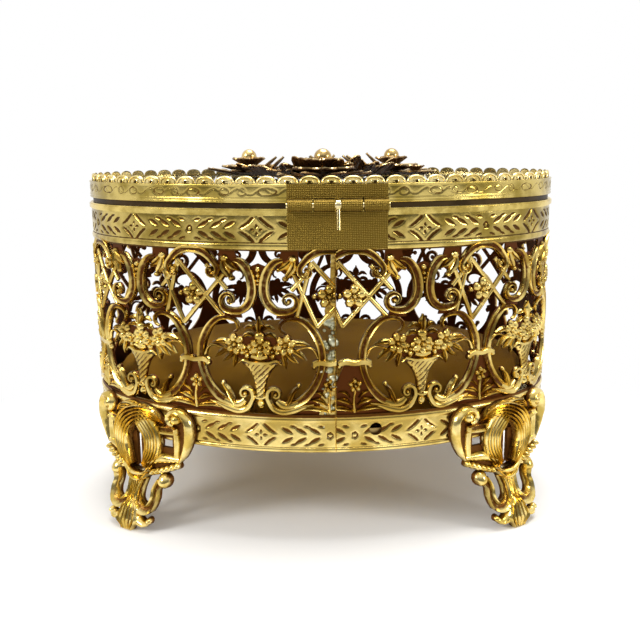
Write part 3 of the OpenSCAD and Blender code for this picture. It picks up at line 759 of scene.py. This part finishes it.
def star_and_leaves(u, v):
    """The band's engraving: a hollow-sided star under each basket and leaf pairs on to the next."""
    x = (u - basket_s + repeat_l / 2) % repeat_l - repeat_l / 2
    a, b = abs(x) / 3.9, abs(v) / 3.2
    cut, ridge = 0.0, 0.0
    if a < 1.25 and b < 1.1:
        q = a ** 0.8 + b ** 0.8
        ridge = max(0.0, 1 - abs(q - 1) / 0.13)
        if 1.12 < q < 1.5 and b < 0.98:
            cut = min(1.0, (1.5 - q) * 5) * min(1.0, a * 3) * min(1.0, b * 3)
        if q < 0.9:
            for sx in (-1, 1):
                cut = max(cut, spot(x - sx * 1.15, v, 0, 0.75, 0.42),
                          spot(x, v - sx * 0.95, math.pi / 2, 0.65, 0.42))
            if math.hypot(x, v) < 0.34:
                cut, ridge = 0.0, 0.7
    side = abs(x)
    for k in range(3):
        middle = 7.2 + 3.7 * k
        cut = max(cut, spot(side - middle, abs(v) - 1.35, -0.48, 2.1, 0.62))
        cut = max(cut, 0.8 * spot(side - middle - 1.7, abs(v) - 2.5, -0.25, 1.3, 0.4))
    dot = math.hypot(side - repeat_l / 2, v)
    if 0.5 < dot < 0.95:
        cut = max(cut, 0.9)
    return cut, ridge


# In both wall bands, the engraved cuts and the feet of the beads get a low rise, so lacquer and painted
# shade go in them.
def foot_band(u, v):
    if v < 1.4:
        lift = half_round(v, 0.65, 0.65)
        return -0.35 + 0.4 * lift, 0.25 + 0.75 * lift
    if v > 8.1:
        lift = half_round(v, 8.95, 0.75)
        return -0.4 + 0.45 * lift, 0.1 + 0.9 * lift
    cut, ridge = star_and_leaves(u, v - 4.8)
    crown = 0.12 * half_round(v, 4.8, 3.6)
    return -0.3 + crown - 0.3 * cut + 0.15 * ridge, max(0.0, 0.85 - 0.9 * cut + 0.3 * ridge)


def head_band(u, v):
    if v < 56.4:
        lift = half_round(v, 55.2, 0.85)
        return -0.4 + 0.45 * lift, 0.15 + 0.85 * lift
    cut, ridge = star_and_leaves(u, v - 59.5)
    crown = 0.12 * half_round(v, 59.5, 3.4)
    return -0.32 + crown - 0.3 * cut + 0.15 * ridge, max(0.0, 0.75 - 0.9 * cut + 0.35 * ridge)


def drilled(flat, u, v, radius):
    """The same flat work with a round hole through it."""
    holder = bpy.data.objects.new("undrilled", flat)
    bit = bmesh.new()
    bmesh.ops.create_cone(bit, cap_ends=True, segments=32, radius1=radius * mm, radius2=radius * mm,
                          depth=0.008, matrix=Matrix.Translation((u * mm, v * mm, 0)))
    bit_mesh = bpy.data.meshes.new("drill")
    bit.to_mesh(bit_mesh)
    bit.free()
    drill = bpy.data.objects.new("drill", bit_mesh)
    scene.collection.objects.link(holder)
    scene.collection.objects.link(drill)
    hole = holder.modifiers.new("hole", "BOOLEAN")
    hole.object = drill
    graph = bpy.context.evaluated_depsgraph_get()
    done = bpy.data.meshes.new_from_object(
        holder.evaluated_get(graph), preserve_all_data_layers=True, depsgraph=graph
    )
    bpy.data.objects.remove(holder)
    bpy.data.objects.remove(drill)
    return done


band_gilt = gilt("band gilding", (0.86, 0.67, 0.24), (0.52, 0.36, 0.08), (0.14, 0.055, 0.01), 0.36)
foot_relief = Relief()
foot_rows = [0, 0.15, 0.4, 0.65, 0.9, 1.15, 1.3, 1.5] + [1.8 + 0.3 * i for i in range(21)]
foot_rows += [8.1, 8.25, 8.5, 8.8, 9.1, 9.4, 9.65, 9.8, 10.4]
strip(foot_relief, seam_s + 0.02, seam_s + round_l - 0.02, foot_rows, foot_band, -1.35)
foot_flat = drilled(foot_relief.mesh("foot band"), 14.4, 6.2, 1.7)
foot_piece = lay_round("wall_foot_band", foot_flat, band_gilt, wall_foot, crease=60)
head_relief = Relief()
head_rows = [54.0, 54.3, 54.5, 54.8, 55.2, 55.6, 55.9, 56.1, 56.4]
head_rows += [56.7 + 0.3 * i for i in range(20)] + [62.6, 63.0]
strip(head_relief, seam_s + 0.02, seam_s + round_l - 0.02, head_rows, head_band, -1.35)
# The head band's gilding is a darker copy of the foot band's: painted shade for the lid's shadow that
# falls on it.
head_band_lid_shadow_gilt = gilt("head band gilding in painted lid shadow", (0.66, 0.5, 0.15), (0.3, 0.21, 0.04), (0.09, 0.04, 0.008), 0.42)
head_piece = lay_round("wall_head_band", head_relief.mesh("head band"), head_band_lid_shadow_gilt, wall_foot, crease=60)

# The seam: the strip's left end laps over its right end, a bright cut edge beside the hinge,
# and is soldered there, with grey-green solder left on and between the ornament.
lap_relief = Relief()
lap_rows = [0.3 + 1.9 * i for i in range(29)]
edge_points = [(seam_s - 0.15, v) for v in lap_rows]
band_of(lap_relief, edge_points, [0.45, 0.5, 0.45, 0.5, 0.4], [1.55, 1.6, 1.5, 1.6, 1.5], 40, rounded)
ground(lap_relief, [(seam_s - 4.6, 10.2), (seam_s, 10.2), (seam_s, 24.6), (seam_s - 2.0, 24.8),
                    (seam_s - 2.4, 19.0), (seam_s - 4.2, 15.0)], -1.3, -0.7, 0.5)
ground(lap_relief, [(seam_s, 33.0), (seam_s, 54.2), (seam_s - 1.2, 54.2), (seam_s - 1.6, 44.0),
                    (seam_s - 3.0, 38.6), (seam_s - 2.6, 35.0)], -1.3, -0.75, 0.5)
held_in(lap_relief)
lap_piece = lay_round("wall_seam_lap", lap_relief.mesh("lap"), wall_gilt, wall_foot)
solder_relief = Relief()
dice = random.Random(4)
for spread, low, high, count in ((2.6, 24.5, 36.5, 22), (3.2, 2.0, 23.0, 26)):
    for i in range(count):
        v = low + (high - low) * dice.random()
        u = seam_s - 0.6 - spread * dice.random() ** 1.3
        r = 0.5 + 0.9 * dice.random()
        knob(solder_relief, u, v, r, r * (0.6 + 0.8 * dice.random()), -0.5 + 0.25 * dice.random(),
             dice.random() * 3, 9)
solder = gilt("old solder", (0.62, 0.6, 0.42), (0.36, 0.36, 0.24), (0.2, 0.17, 0.08), 0.35, 500, 0.38,
              0.00012)
solder_piece = lay_round("wall_seam_solder", solder_relief.mesh("solder"), solder, wall_foot)
for piece in (foot_piece, head_piece, lap_piece, solder_piece):
    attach(piece, "body")
for piece in (baskets, trellises, first_trellis, last_trellis, foot_piece, head_piece, lap_piece,
              solder_piece):
    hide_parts("filigree_wall")

# The rim, floor and card: a rolled rim of gilt sheet with a flange inside the wall, a floor of
# thin brass with a turned-up edge, and the card that the cushion lies on. Their shapes come
# from the CAD, and each gets its own worn metal or paper.
def coat(node, material):
    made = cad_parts[node]
    made.data.materials.clear()
    made.data.materials.append(material)


rim_gilt = gilt("rim gilding", (0.86, 0.66, 0.2), (0.5, 0.36, 0.08), (0.2, 0.1, 0.03), -0.25, 160, 0.22)
coat("body_rim", rim_gilt)
floor_brass = gilt("floor brass", (0.5, 0.36, 0.14), (0.34, 0.23, 0.08), (0.15, 0.08, 0.03), -0.3, 90,
                   0.36)
coat("floor_plate", floor_brass)
card_board = bpy.data.materials.new("grey card")
card_board.use_nodes = True
tree = card_board.node_tree
where = node_in(tree, "ShaderNodeTexCoord", (-900, 0))
fibre = node_in(tree, "ShaderNodeTexNoise", (-700, 0))
fill(fibre, {"Scale": 700, "Detail": 5})
pulp = node_in(tree, "ShaderNodeValToRGB", (-450, 0))
pulp.color_ramp.elements[0].color = (0.3, 0.24, 0.15, 1)
pulp.color_ramp.elements[1].color = (0.44, 0.36, 0.24, 1)
wire_up(
    tree,
    (where, "Object", fibre, "Vector"), (fibre, "Fac", pulp, "Fac"),
    (pulp, "Color", tree.nodes["Principled BSDF"], "Base Color"),
)
tree.nodes["Principled BSDF"].inputs["Roughness"].default_value = 0.9
coat("pad_card", card_board)

# The cushion: old gold satin over soft filling, plump on top and flat on its card. It is the
# CAD's shape, blown up a little by cloth under pressure and held back at the wall.
card_top = 29.2
pad_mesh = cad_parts["cushion"].data.copy()
for vertex in pad_mesh.vertices:
    vertex.co.x *= 0.982
    vertex.co.y = (vertex.co.y - centre_y * mm) * 0.975 + centre_y * mm
pad = bpy.data.objects.new("satin_cushion", pad_mesh)
scene.collection.objects.link(pad)
even_grid = pad.modifiers.new("even grid", "REMESH")
even_grid.mode = "VOXEL"
even_grid.voxel_size = 0.0035
graph = bpy.context.evaluated_depsgraph_get()
pad_mesh = bpy.data.meshes.new_from_object(pad.evaluated_get(graph))
pad.modifiers.remove(even_grid)
pad.data = pad_mesh
resting = [v.co.copy() for v in pad_mesh.vertices]
filling = pad.modifiers.new("filling", "CLOTH")
filling.settings.use_pressure = True
filling.settings.uniform_pressure_force = 4
filling.settings.effector_weights.gravity = 0
for i in range(1, 21):
    scene.frame_set(i)
graph = bpy.context.evaluated_depsgraph_get()
swollen = bpy.data.meshes.new_from_object(pad.evaluated_get(graph))
pad.modifiers.remove(filling)
scene.frame_set(1)
for vertex, moved_to, begun in zip(pad_mesh.vertices, swollen.vertices, resting):
    shift = moved_to.co - begun
    vertex.co = begun + shift * min(1.0, 0.0012 / max(shift.length, 1e-9))
for vertex in pad_mesh.vertices:
    vertex.co.z = max(vertex.co.z, card_top * mm)
for face in pad_mesh.polygons:
    face.use_smooth = True
smoother = pad.modifiers.new("smoother", "SUBSURF")
smoother.levels = smoother.render_levels = 1
graph = bpy.context.evaluated_depsgraph_get()
pad_mesh = bpy.data.meshes.new_from_object(pad.evaluated_get(graph))
pad.modifiers.remove(smoother)
pad.data = pad_mesh
satin = bpy.data.materials.new("old gold satin")
satin.use_nodes = True
tree = satin.node_tree
shader = tree.nodes["Principled BSDF"]
where = node_in(tree, "ShaderNodeTexCoord", (-1100, 0))
faded = node_in(tree, "ShaderNodeTexNoise", (-900, 100))
faded.inputs["Scale"].default_value = 28
dye = node_in(tree, "ShaderNodeValToRGB", (-650, 100))
dye.color_ramp.elements[0].position = 0.35
dye.color_ramp.elements[0].color = (0.15, 0.066, 0.004, 1)
dye.color_ramp.elements[1].position = 0.7
dye.color_ramp.elements[1].color = (0.25, 0.12, 0.008, 1)
threads = node_in(tree, "ShaderNodeTexWave", (-900, -200), bands_direction="Y")
fill(threads, {"Scale": 1600, "Distortion": 1.5})
creases = node_in(tree, "ShaderNodeTexNoise", (-900, -450))
creases.inputs["Scale"].default_value = 60
both = node_in(tree, "ShaderNodeMath", (-650, -300), operation="MULTIPLY_ADD")
both.inputs[1].default_value = 0.12
bump = node_in(tree, "ShaderNodeBump", (-400, -300))
fill(bump, {"Strength": 0.5, "Distance": 0.0009})
wire_up(
    tree,
    (where, "Object", faded, "Vector"), (where, "Object", threads, "Vector"),
    (where, "Object", creases, "Vector"), (faded, "Fac", dye, "Fac"),
    (dye, "Color", shader, "Base Color"), (threads, "Fac", both, 0), (creases, "Fac", both, 2),
    (both, 0, bump, "Height"), (bump, 0, shader, "Normal"),
)
fill(shader, {"Roughness": 0.7, "Specular IOR Level": 0.06})
pad_mesh.materials.clear()
pad_mesh.materials.append(satin)
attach(pad, "body")
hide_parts("cushion")

# The legs: four bright gilt castings soldered to the wall. Each is a shield of two hooked
# volutes, crossed ribbed leaves, a double collar and beaded arms, on a scrolled stem that
# leans out to a leaf with curled tips. Legs next to each other are mirrored.
ribbed = [(-1, 0, 0.1), (-0.96, 0.7, 0.8), (-0.8, 0.95, 1), (-0.66, 0.66, 0.15), (-0.5, 0.98, 1),
          (-0.33, 0.7, 0.15), (-0.16, 1, 1), (0, 0.72, 0.15), (0.16, 1, 1), (0.33, 0.7, 0.15),
          (0.5, 0.98, 1), (0.66, 0.66, 0.15), (0.8, 0.95, 1), (0.96, 0.7, 0.8), (1, 0, 0.1)]


def leg_work(relief, facing):
    for side in (-1, 1):
        hook = [(14.6, 20.6), (16.8, 24.6), (18.0, 29.0), (17.6, 32.6), (15.6, 34.9), (13.0, 35.0),
                (11.3, 33.4), (11.9, 31.7), (13.6, 31.3)]
        band_of(relief, sided(hook, side), [0.8, 2.2, 2.8, 3.2, 3.0, 2.6, 2.2, 1.8, 1.4],
                [1.8, 2.2, 2.6, 3.0, 3.0, 2.8, 2.6, 2.6, 2.6], 30, rounded, 0.0)
        knob(relief, side * 13.9, 32.9, 1.9, 1.8, 2.7, 0, 12, 0.0, 3)
        band_of(relief, sided([(5.2, 29.4), (9.6, 29.4), (14.6, 29.6)], side), [2.8, 2.7, 2.4],
                [2.0, 2.0, 2.0], 8, channelled, 0.0)
        band_of(relief, sided([(13.4, 30.0), (13.7, 26.0), (13.4, 21.0)], side), [2.2, 2.4, 2.2],
                [1.8, 1.8, 1.8], 8, rounded, 0.0)
        band_of(relief, sided([(3.8, 18.9), (8.4, 20.6), (14.6, 21.2)], side), [2.6, 3.4, 2.2],
                [2.2, 2.1, 1.9], 10, rounded, 0.0)
        for i in range(6):
            t = i / 5
            knob(relief, side * (5.4 + 8.6 * t), 16.2 + 2.7 * t + 0.6 * t * t, 1.15, 1.15, 3.1, 0,
                 10, 0.0, 3)
        for patch in ([(0.8, 17.0), (5.0, 16.8), (14.6, 20.6), (16.6, 24.2), (0.8, 24.0)],
                      [(12.3, 24.1), (16.6, 24.1), (17.8, 27.3), (12.3, 27.3)],
                      [(0.8, 23.9), (8.6, 23.9), (8.6, 27.3), (0.8, 27.3)],
                      [(0.0, 27.2), (17.8, 27.2), (18.0, 32.4), (14.0, 34.4), (9.0, 32.6), (5.0, 35.2),
                       (0.0, 35.6)]):
            ground(relief, sided(patch, side), 0.0, 1.0, 0.15)
    for way, lift in ((facing, 0.7), (-facing, 0.0)):
        blade = [(-2.2, 17.4), (-5.4, 22.4), (-5.6, 27.0), (-2.6, 31.4), (2.6, 33.6), (6.6, 33.0),
                 (9.6, 31.2)]
        band_of(relief, sided(blade, way), [2.2, 5.0, 6.2, 6.4, 5.6, 3.8, 0.6],
                [2.6 + lift, 2.9 + lift, 2.9 + lift, 3.0 + lift, 2.7 + lift, 2.2 + lift, 1.4], 26,
                ribbed, 0.0)
    for points, wide in (([(-4.9, 18.0), (-2.8, 15.9), (0, 15.3), (2.8, 15.9), (4.9, 18.0)], 1.8),
                         ([(-3.9, 15.9), (-2.0, 14.0), (0, 13.5), (2.0, 14.0), (3.9, 15.9)], 1.6)):
        band_of(relief, points, [1.2, wide, wide, wide, 1.2], [3.2, 3.9, 4.1, 3.9, 3.2], 16,
                rounded, 0.0)
    low = Relief()
    for side in (-1, 1):
        band_of(low, sided([(2.6, 14.2), (1.8, 11.0), (1.9, 8.4), (3.6, 6.4), (6.2, 6.6), (7.5, 9.2),
                            (7.4, 12.0), (8.6, 14.2)], side), [2.0, 2.2, 2.6, 3.0, 3.0, 2.6, 2.4, 2.8],
                [1.6, 1.9, 2.2, 2.6, 2.6, 2.5, 2.5, 2.6], 20, channelled, 0.0)
        knob(low, side * 9.5, 14.5, 2.4, 2.3, 3.1, 0, 14, 0.0, 4)
        knob(low, side * 6.9, 3.4, 1.1, 1.0, 2.4, 0, 10, 0.0, 3)
        band_of(low, sided([(1.4, 4.6), (3.6, 2.9), (5.6, 2.4), (6.9, 3.5)], side),
                [3.4, 3.0, 2.2, 1.4], [2.6, 2.6, 2.4, 2.0], 12, rounded, 0.0)
    band_of(low, [(0, 14.4), (-0.2 * facing, 10.0), (0, 6.4)], [4.6, 3.6, 4.2], [2.6, 2.4, 2.8], 10,
            ribbed, -0.4)
    band_of(low, [(0, 8.8), (0, 6.0), (0, 3.0), (0, 0.05)], [2.0, 6.4, 8.0, 4.2],
            [2.6, 3.6, 3.8, 2.4], 14, ribbed, -0.3)
    low.points = [(u, max(v, 0.05), w + 0.3 + max(0.0, 15 - v) * 0.4) for u, v, w in low.points]
    relief.add(low.points, low.faces, low.rises)


cast_gilt = gilt("cast gilding", (0.93, 0.73, 0.28), (0.62, 0.44, 0.1), (0.13, 0.05, 0.01), 0.42, 220,
                 0.18)
leg_s = 55
for name, s, facing in (("leg_back_left", -leg_s, 1), ("leg_back_right", leg_s, -1),
                        ("leg_front_right", 2 * quarter - leg_s, 1),
                        ("leg_front_left", 2 * quarter + leg_s, -1)):
    shield = Relief()
    leg_work(shield, facing)
    leg = lay_round("cast_" + name, shield.mesh(name), cast_gilt, 0.0, 1, 0, s, crease=50)
    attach(leg, "body")
    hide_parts(name)

# The hinge: two leaves of brass rolled with a linen grain, their knuckles on a bright pin of
# wire whose end is turned down between them. The shapes are the CAD's own.
linen = bpy.data.materials.new("linen grained brass")
linen.use_nodes = True
tree = linen.node_tree
shader = tree.nodes["Principled BSDF"]
where = node_in(tree, "ShaderNodeTexCoord", (-1200, 0))
weft = node_in(tree, "ShaderNodeTexWave", (-950, 100), bands_direction="X")
fill(weft, {"Scale": 700, "Distortion": 2.0})
warp = node_in(tree, "ShaderNodeTexWave", (-950, -200), bands_direction="Z")
fill(warp, {"Scale": 700, "Distortion": 2.0})
cloth_grain = node_in(tree, "ShaderNodeMath", (-700, 0), operation="MULTIPLY")
tone = node_in(tree, "ShaderNodeValToRGB", (-450, 100))
tone.color_ramp.elements[0].color = (0.14, 0.085, 0.012, 1)
tone.color_ramp.elements[1].color = (0.34, 0.23, 0.045, 1)
bump = node_in(tree, "ShaderNodeBump", (-450, -250))
fill(bump, {"Strength": 0.9, "Distance": 0.00012})
wire_up(
    tree,
    (where, "Object", weft, "Vector"), (where, "Object", warp, "Vector"), (weft, "Fac", cloth_grain, 0),
    (warp, "Fac", cloth_grain, 1), (cloth_grain, 0, tone, "Fac"), (tone, "Color", shader, "Base Color"),
    (cloth_grain, 0, bump, "Height"), (bump, 0, shader, "Normal"),
)
fill(shader, {"Metallic": 1.0, "Roughness": 0.4})
coat("hinge_leaf_body", linen)
coat("hinge_leaf_lid", linen)
wire = gilt("bright wire", (0.95, 0.8, 0.45), (0.8, 0.62, 0.25), (0.3, 0.2, 0.05), -0.3, 300, 0.18)
coat("hinge_pin", wire)

# The lid's frame: a band of gilt brass with two bright beads along its foot and a shallow
# scroll engraving, the gallery of sixty-eight scallops that holds the glass down, each with an
# eye left unpierced and painted dark as the shade of a hole, and the plain ledge under the
# glass, gilt near black as painted shade.
# The engraved scroll gets a low rise, so lacquer and painted shade go in its cut.
def lid_face(u, v):
    for middle, half in ((0.35, 0.27), (1.05, 0.27), (4.55, 0.22)):
        if abs(v - middle) < half:
            lift = half_round(v, middle, half)
            return -0.26 + 0.24 * lift, 0.3 + 0.7 * lift
    x = (u * 0.8 + 1.1 * math.sin(u * 0.35)) % 5.2 - 2.6
    y = v - 2.85
    ring = abs(math.hypot(x * 0.85, y) - 0.95) / 0.24
    stem = abs(y - 0.75 * math.sin((u * 0.8) * 2 * math.pi / 5.2)) / 0.22
    cut = max(0.0, 1 - min(ring, stem)) if 1.45 < v < 4.25 else 0.0
    return -0.2 + 0.08 * half_round(v, 2.85, 1.6) - 0.14 * cut, 0.62 - 0.6 * cut


lid_gilt = gilt("lid gilding", (0.7, 0.54, 0.17), (0.36, 0.26, 0.05), (0.12, 0.06, 0.012), 0.25)
lid_foot = 92.2
lid_relief = Relief()
lid_rows = [0.05, 0.1, 0.2, 0.35, 0.5, 0.62, 0.78, 0.9, 1.05, 1.2, 1.32, 1.5]
lid_rows += [1.7 + 0.24 * i for i in range(11)] + [4.3, 4.42, 4.55, 4.68, 4.78]
strip(lid_relief, 0.01, round_l - 0.01, lid_rows, lid_face, -0.78, 0.26)
lid_piece = lay_round("lid_engraved_band", lid_relief.mesh("lid band"), lid_gilt, lid_foot, crease=60)
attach(lid_piece, "lid")
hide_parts("lid_band")

scallop = Relief()
ground(scallop, [(-2.8, 0.0), (2.8, 0.0), (2.8, 2.6), (-2.8, 2.6)], -1.42, -1.02, 0.7)
ground(scallop, [(-2.8, 2.36), (2.8, 2.36), (2.8, 2.6), (-2.8, 2.6)], -2.4, -1.3, 0.7)
hump = [(-2.35, 2.2), (-2.25, 3.0), (-1.5, 3.72), (0, 4.0), (1.5, 3.72), (2.25, 3.0), (2.35, 2.2)]
ground(scallop, hump, -1.4, -1.1, 0.8)
band_of(scallop, hump, [0.7] * 3, [0.55] * 3, 14, rounded, -1.35)
knob(scallop, 0, 2.75, 1.25, 0.9, -0.84, 0, 10, -1.3, 2)
# The eye is not pierced. It is a small disc with a rise below zero, so it takes the darkest lacquer
# colour: painted shade standing for the hole.
ground(scallop, [(0.45 * math.cos(k * 0.785), 2.75 + 0.4 * math.sin(k * 0.785)) for k in range(8)],
       -1.2, -0.82, -0.4)
gallery_gilt = gilt("gallery gilding", (0.95, 0.78, 0.36), (0.75, 0.57, 0.18), (0.06, 0.035, 0.01), 0.1)
scallops = 68
gallery = lay_round("scalloped_gallery", scallop.mesh("scallop"), gallery_gilt, 94.65, scallops,
                    round_l / scallops, round_l / scallops / 2)
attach(gallery, "lid")
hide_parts("lid_gallery")
# The glass seat is gilt near black: painted shade for the shadow under the lid's frame.
glass_seat_shade_brass = gilt("shaded brass", (0.07, 0.045, 0.02), (0.04, 0.026, 0.012), (0.02, 0.012, 0.006), -0.3,
                  90, 0.5)
coat("glass_seat", glass_seat_shade_brass)

# The glass: one thick oval plate with a wide ground bevel, clear and a little green at its edge.
clear = bpy.data.materials.new("clear glass")
clear.use_nodes = True
tree = clear.node_tree
shader = tree.nodes["Principled BSDF"]
fill(shader, {"Base Color": (0.95, 0.985, 0.965, 1), "Transmission Weight": 1.0, "IOR": 1.5})
where = node_in(tree, "ShaderNodeTexCoord", (-900, 0))
smear = node_in(tree, "ShaderNodeTexNoise", (-700, 0))
smear.inputs["Scale"].default_value = 45
wiped = node_in(tree, "ShaderNodeMapRange", (-450, 0))
fill(wiped, {"From Min": 0.4, "From Max": 0.8, "To Min": 0.01, "To Max": 0.07})
wire_up(
    tree,
    (where, "Object", smear, "Vector"), (smear, "Fac", wiped, "Value"), (wiped, 0, shader, "Roughness"),
)
coat("lid_glass", clear)

# The ornament: a spray of ribbed leaves on two stems, three flowers of dished petals in three
# rings, and a bud, all of cast brass gone dark, with lacquer and painted shade on the undersides
# and in the hollows, but for its high edges. Three ball-headed studs go down through the
# flowers and the glass, with a washer and a nut under each.
def foliage(work, place, turn, tilt, long, wide, thick=0.5, cup=0.5, curl=0.6, ribs=3, blunt=0.6):
    """A closed leaf or petal from place outwards, dished across, curled along, with raised ribs."""
    rows, cols = 7, 8
    around = Matrix.Rotation(turn, 3, "Z") @ Matrix.Rotation(-tilt, 3, "Y")
    found, rises = [], []
    for under in (0, 1):
        for i in range(rows + 1):
            t = i / rows
            half = wide / 2 * (0.16 + 0.84 * math.sin(math.pi * min(t * 0.94, 1)) ** blunt)
            if i == rows:
                half *= 0.75
            for j in range(cols + 1):
                x = 2 * j / cols - 1
                rib = 0.5 + 0.5 * math.cos(x * math.pi * ribs)
                z = cup * x * x * math.sin(math.pi * t) + curl * (t * t) - 0.35 * curl * t
                z += 0.22 * rib * (1 - abs(x)) - (thick if under else 0)
                local = around @ Vector((long * t, half * x, z))
                found.append(tuple(Vector(place) + local))
                # Undersides get no rise, so they take lacquer and painted shade. The ribs, tips and
                # edges rise higher and stay bright.
                rises.append(0.0 if under else 0.15 + 0.5 * rib + 0.5 * max(t - 0.6, abs(x) - 0.6, 0))
    n, top = cols + 1, (rows + 1) * (cols + 1)
    faces = []
    for i in range(rows):
        for j in range(cols):
            a = i * n + j
            faces.append([a, a + n, a + n + 1, a + 1])
            faces.append([top + a, top + a + 1, top + a + n + 1, top + a + n])
    edge = list(range(n)) + [i * n + cols for i in range(1, rows + 1)]
    edge += [rows * n + j for j in range(cols - 1, -1, -1)] + [i * n for i in range(rows - 1, 0, -1)]
    for k, a in enumerate(edge):
        b = edge[(k + 1) % len(edge)]
        faces.append([a, b, top + b, top + a])
    work.add(found, faces, rises)


def bare_piece(name, work, metal, body, slot, *nodes):
    mesh = work.mesh(name)
    mesh.materials.append(metal)
    mesh.set_sharp_from_angle(angle=math.radians(50))
    piece = bpy.data.objects.new(name, mesh)
    scene.collection.objects.link(piece)
    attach(piece, body)
    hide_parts(*nodes)
    return piece


antique = gilt("antiqued brass with painted shade", (0.88, 0.66, 0.32), (0.46, 0.3, 0.12), (0.09, 0.045, 0.018), 0.36, 260,
               0.24, 0.00008)
ball_brass = gilt("rubbed brass", (0.8, 0.58, 0.24), (0.45, 0.29, 0.1), (0.1, 0.05, 0.02), -0.2, 260,
                  0.22)
studs = [(-23.6, 20.0), (0.7, -22.0), (23.6, 20.0)]
bud_x, bud_y = 29.6, centre_y + 3.0
spray = Relief()
dice = random.Random(11)
for i, (x, y) in enumerate(studs):
    for k in range(9):
        turn = k * 2 * math.pi / 9 + 0.3 * dice.random()
        foliage(spray, (x + 2.4 * math.cos(turn), y + centre_y + 2.4 * math.sin(turn), 97.4), turn,
                0.06 + 0.1 * dice.random(), 10.2 + 1.6 * dice.random(), 4.8, 0.5, 0.5, 0.9, 3)
for (x0, y0), (x1, y1) in ((studs[0], studs[1]), (studs[2], studs[1])):
    way = math.atan2(y1 - y0, x1 - x0)
    for k in range(26):
        t = 0.08 + 0.84 * k / 25
        side = 1 if k % 2 else -1
        x, y = x0 + (x1 - x0) * t, y0 + (y1 - y0) * t
        foliage(spray, (x, y + centre_y, 97.5), way + side * (0.7 + 0.5 * dice.random()),
                0.2 + 0.55 * dice.random(), 6.8 + 3.0 * dice.random(), 3.6 + dice.random(), 0.5, 0.5,
                0.8, 2)
for k in range(5):
    turn = -2.4 + k * 0.75
    foliage(spray, (bud_x, bud_y, 97.5), turn, 0.15, 6.6, 3.4, 0.5, 0.5, 0.7, 2)
bare_piece("ribbed_leaf_spray", spray, antique, "lid", "antique_brass", "leaf_spray")
for (x, y), side in zip(studs, ("left", "middle", "right")):
    for ring, z, count, start_at, long, wide, tilt, node in (
        (0, 98.4, 6, 1.3, 7.9, 7.6, 0.24, "lower"),
        (1, 100.4, 5, 1.1, 4.9, 5.4, 0.5, "upper"),
    ):
        bloom = Relief()
        turn = 0.3 + 0.9 * ring + 0.4 * x
        for k in range(count):
            a = turn + k * 2 * math.pi / count
            base = (x + start_at * math.cos(a), y + centre_y + start_at * math.sin(a), z + 0.1 * (k % 2))
            foliage(bloom, base, a, tilt, long, wide, 0.6, 0.9, 0.5, 2, 0.42)
        if ring:
            for k in range(7):
                a = turn + 0.4 + k * 2 * math.pi / 7
                base = (x + 1.2 * math.cos(a), y + centre_y + 1.2 * math.sin(a), z + 0.7)
                foliage(bloom, base, a, 0.95, 2.5, 2.2, 0.4, 0.4, 0.2, 1, 0.4)
        bare_piece("flower_" + side + "_petals_" + node, bloom, antique, "lid", "antique_brass",
                   "flower_" + side + "_" + node)
    coat("ball_stud_" + side, ball_brass)
knop = Relief()
for k in range(6):
    a = k * math.pi / 3
    foliage(knop, (bud_x + 0.3 * math.cos(a), bud_y + 0.3 * math.sin(a), 98.0), a, 0.9, 3.4, 2.4,
            0.4, 0.6, -0.6, 1, 0.5)
bare_piece("furled_bud", knop, antique, "lid", "antique_brass", "bud")
steel = gilt("plated steel", (0.62, 0.62, 0.6), (0.45, 0.45, 0.43), (0.2, 0.2, 0.2), -0.3, 400, 0.3)
coat("stud_washers", steel)
coat("stud_nuts", steel)


bpy.data.objects.remove(outline)
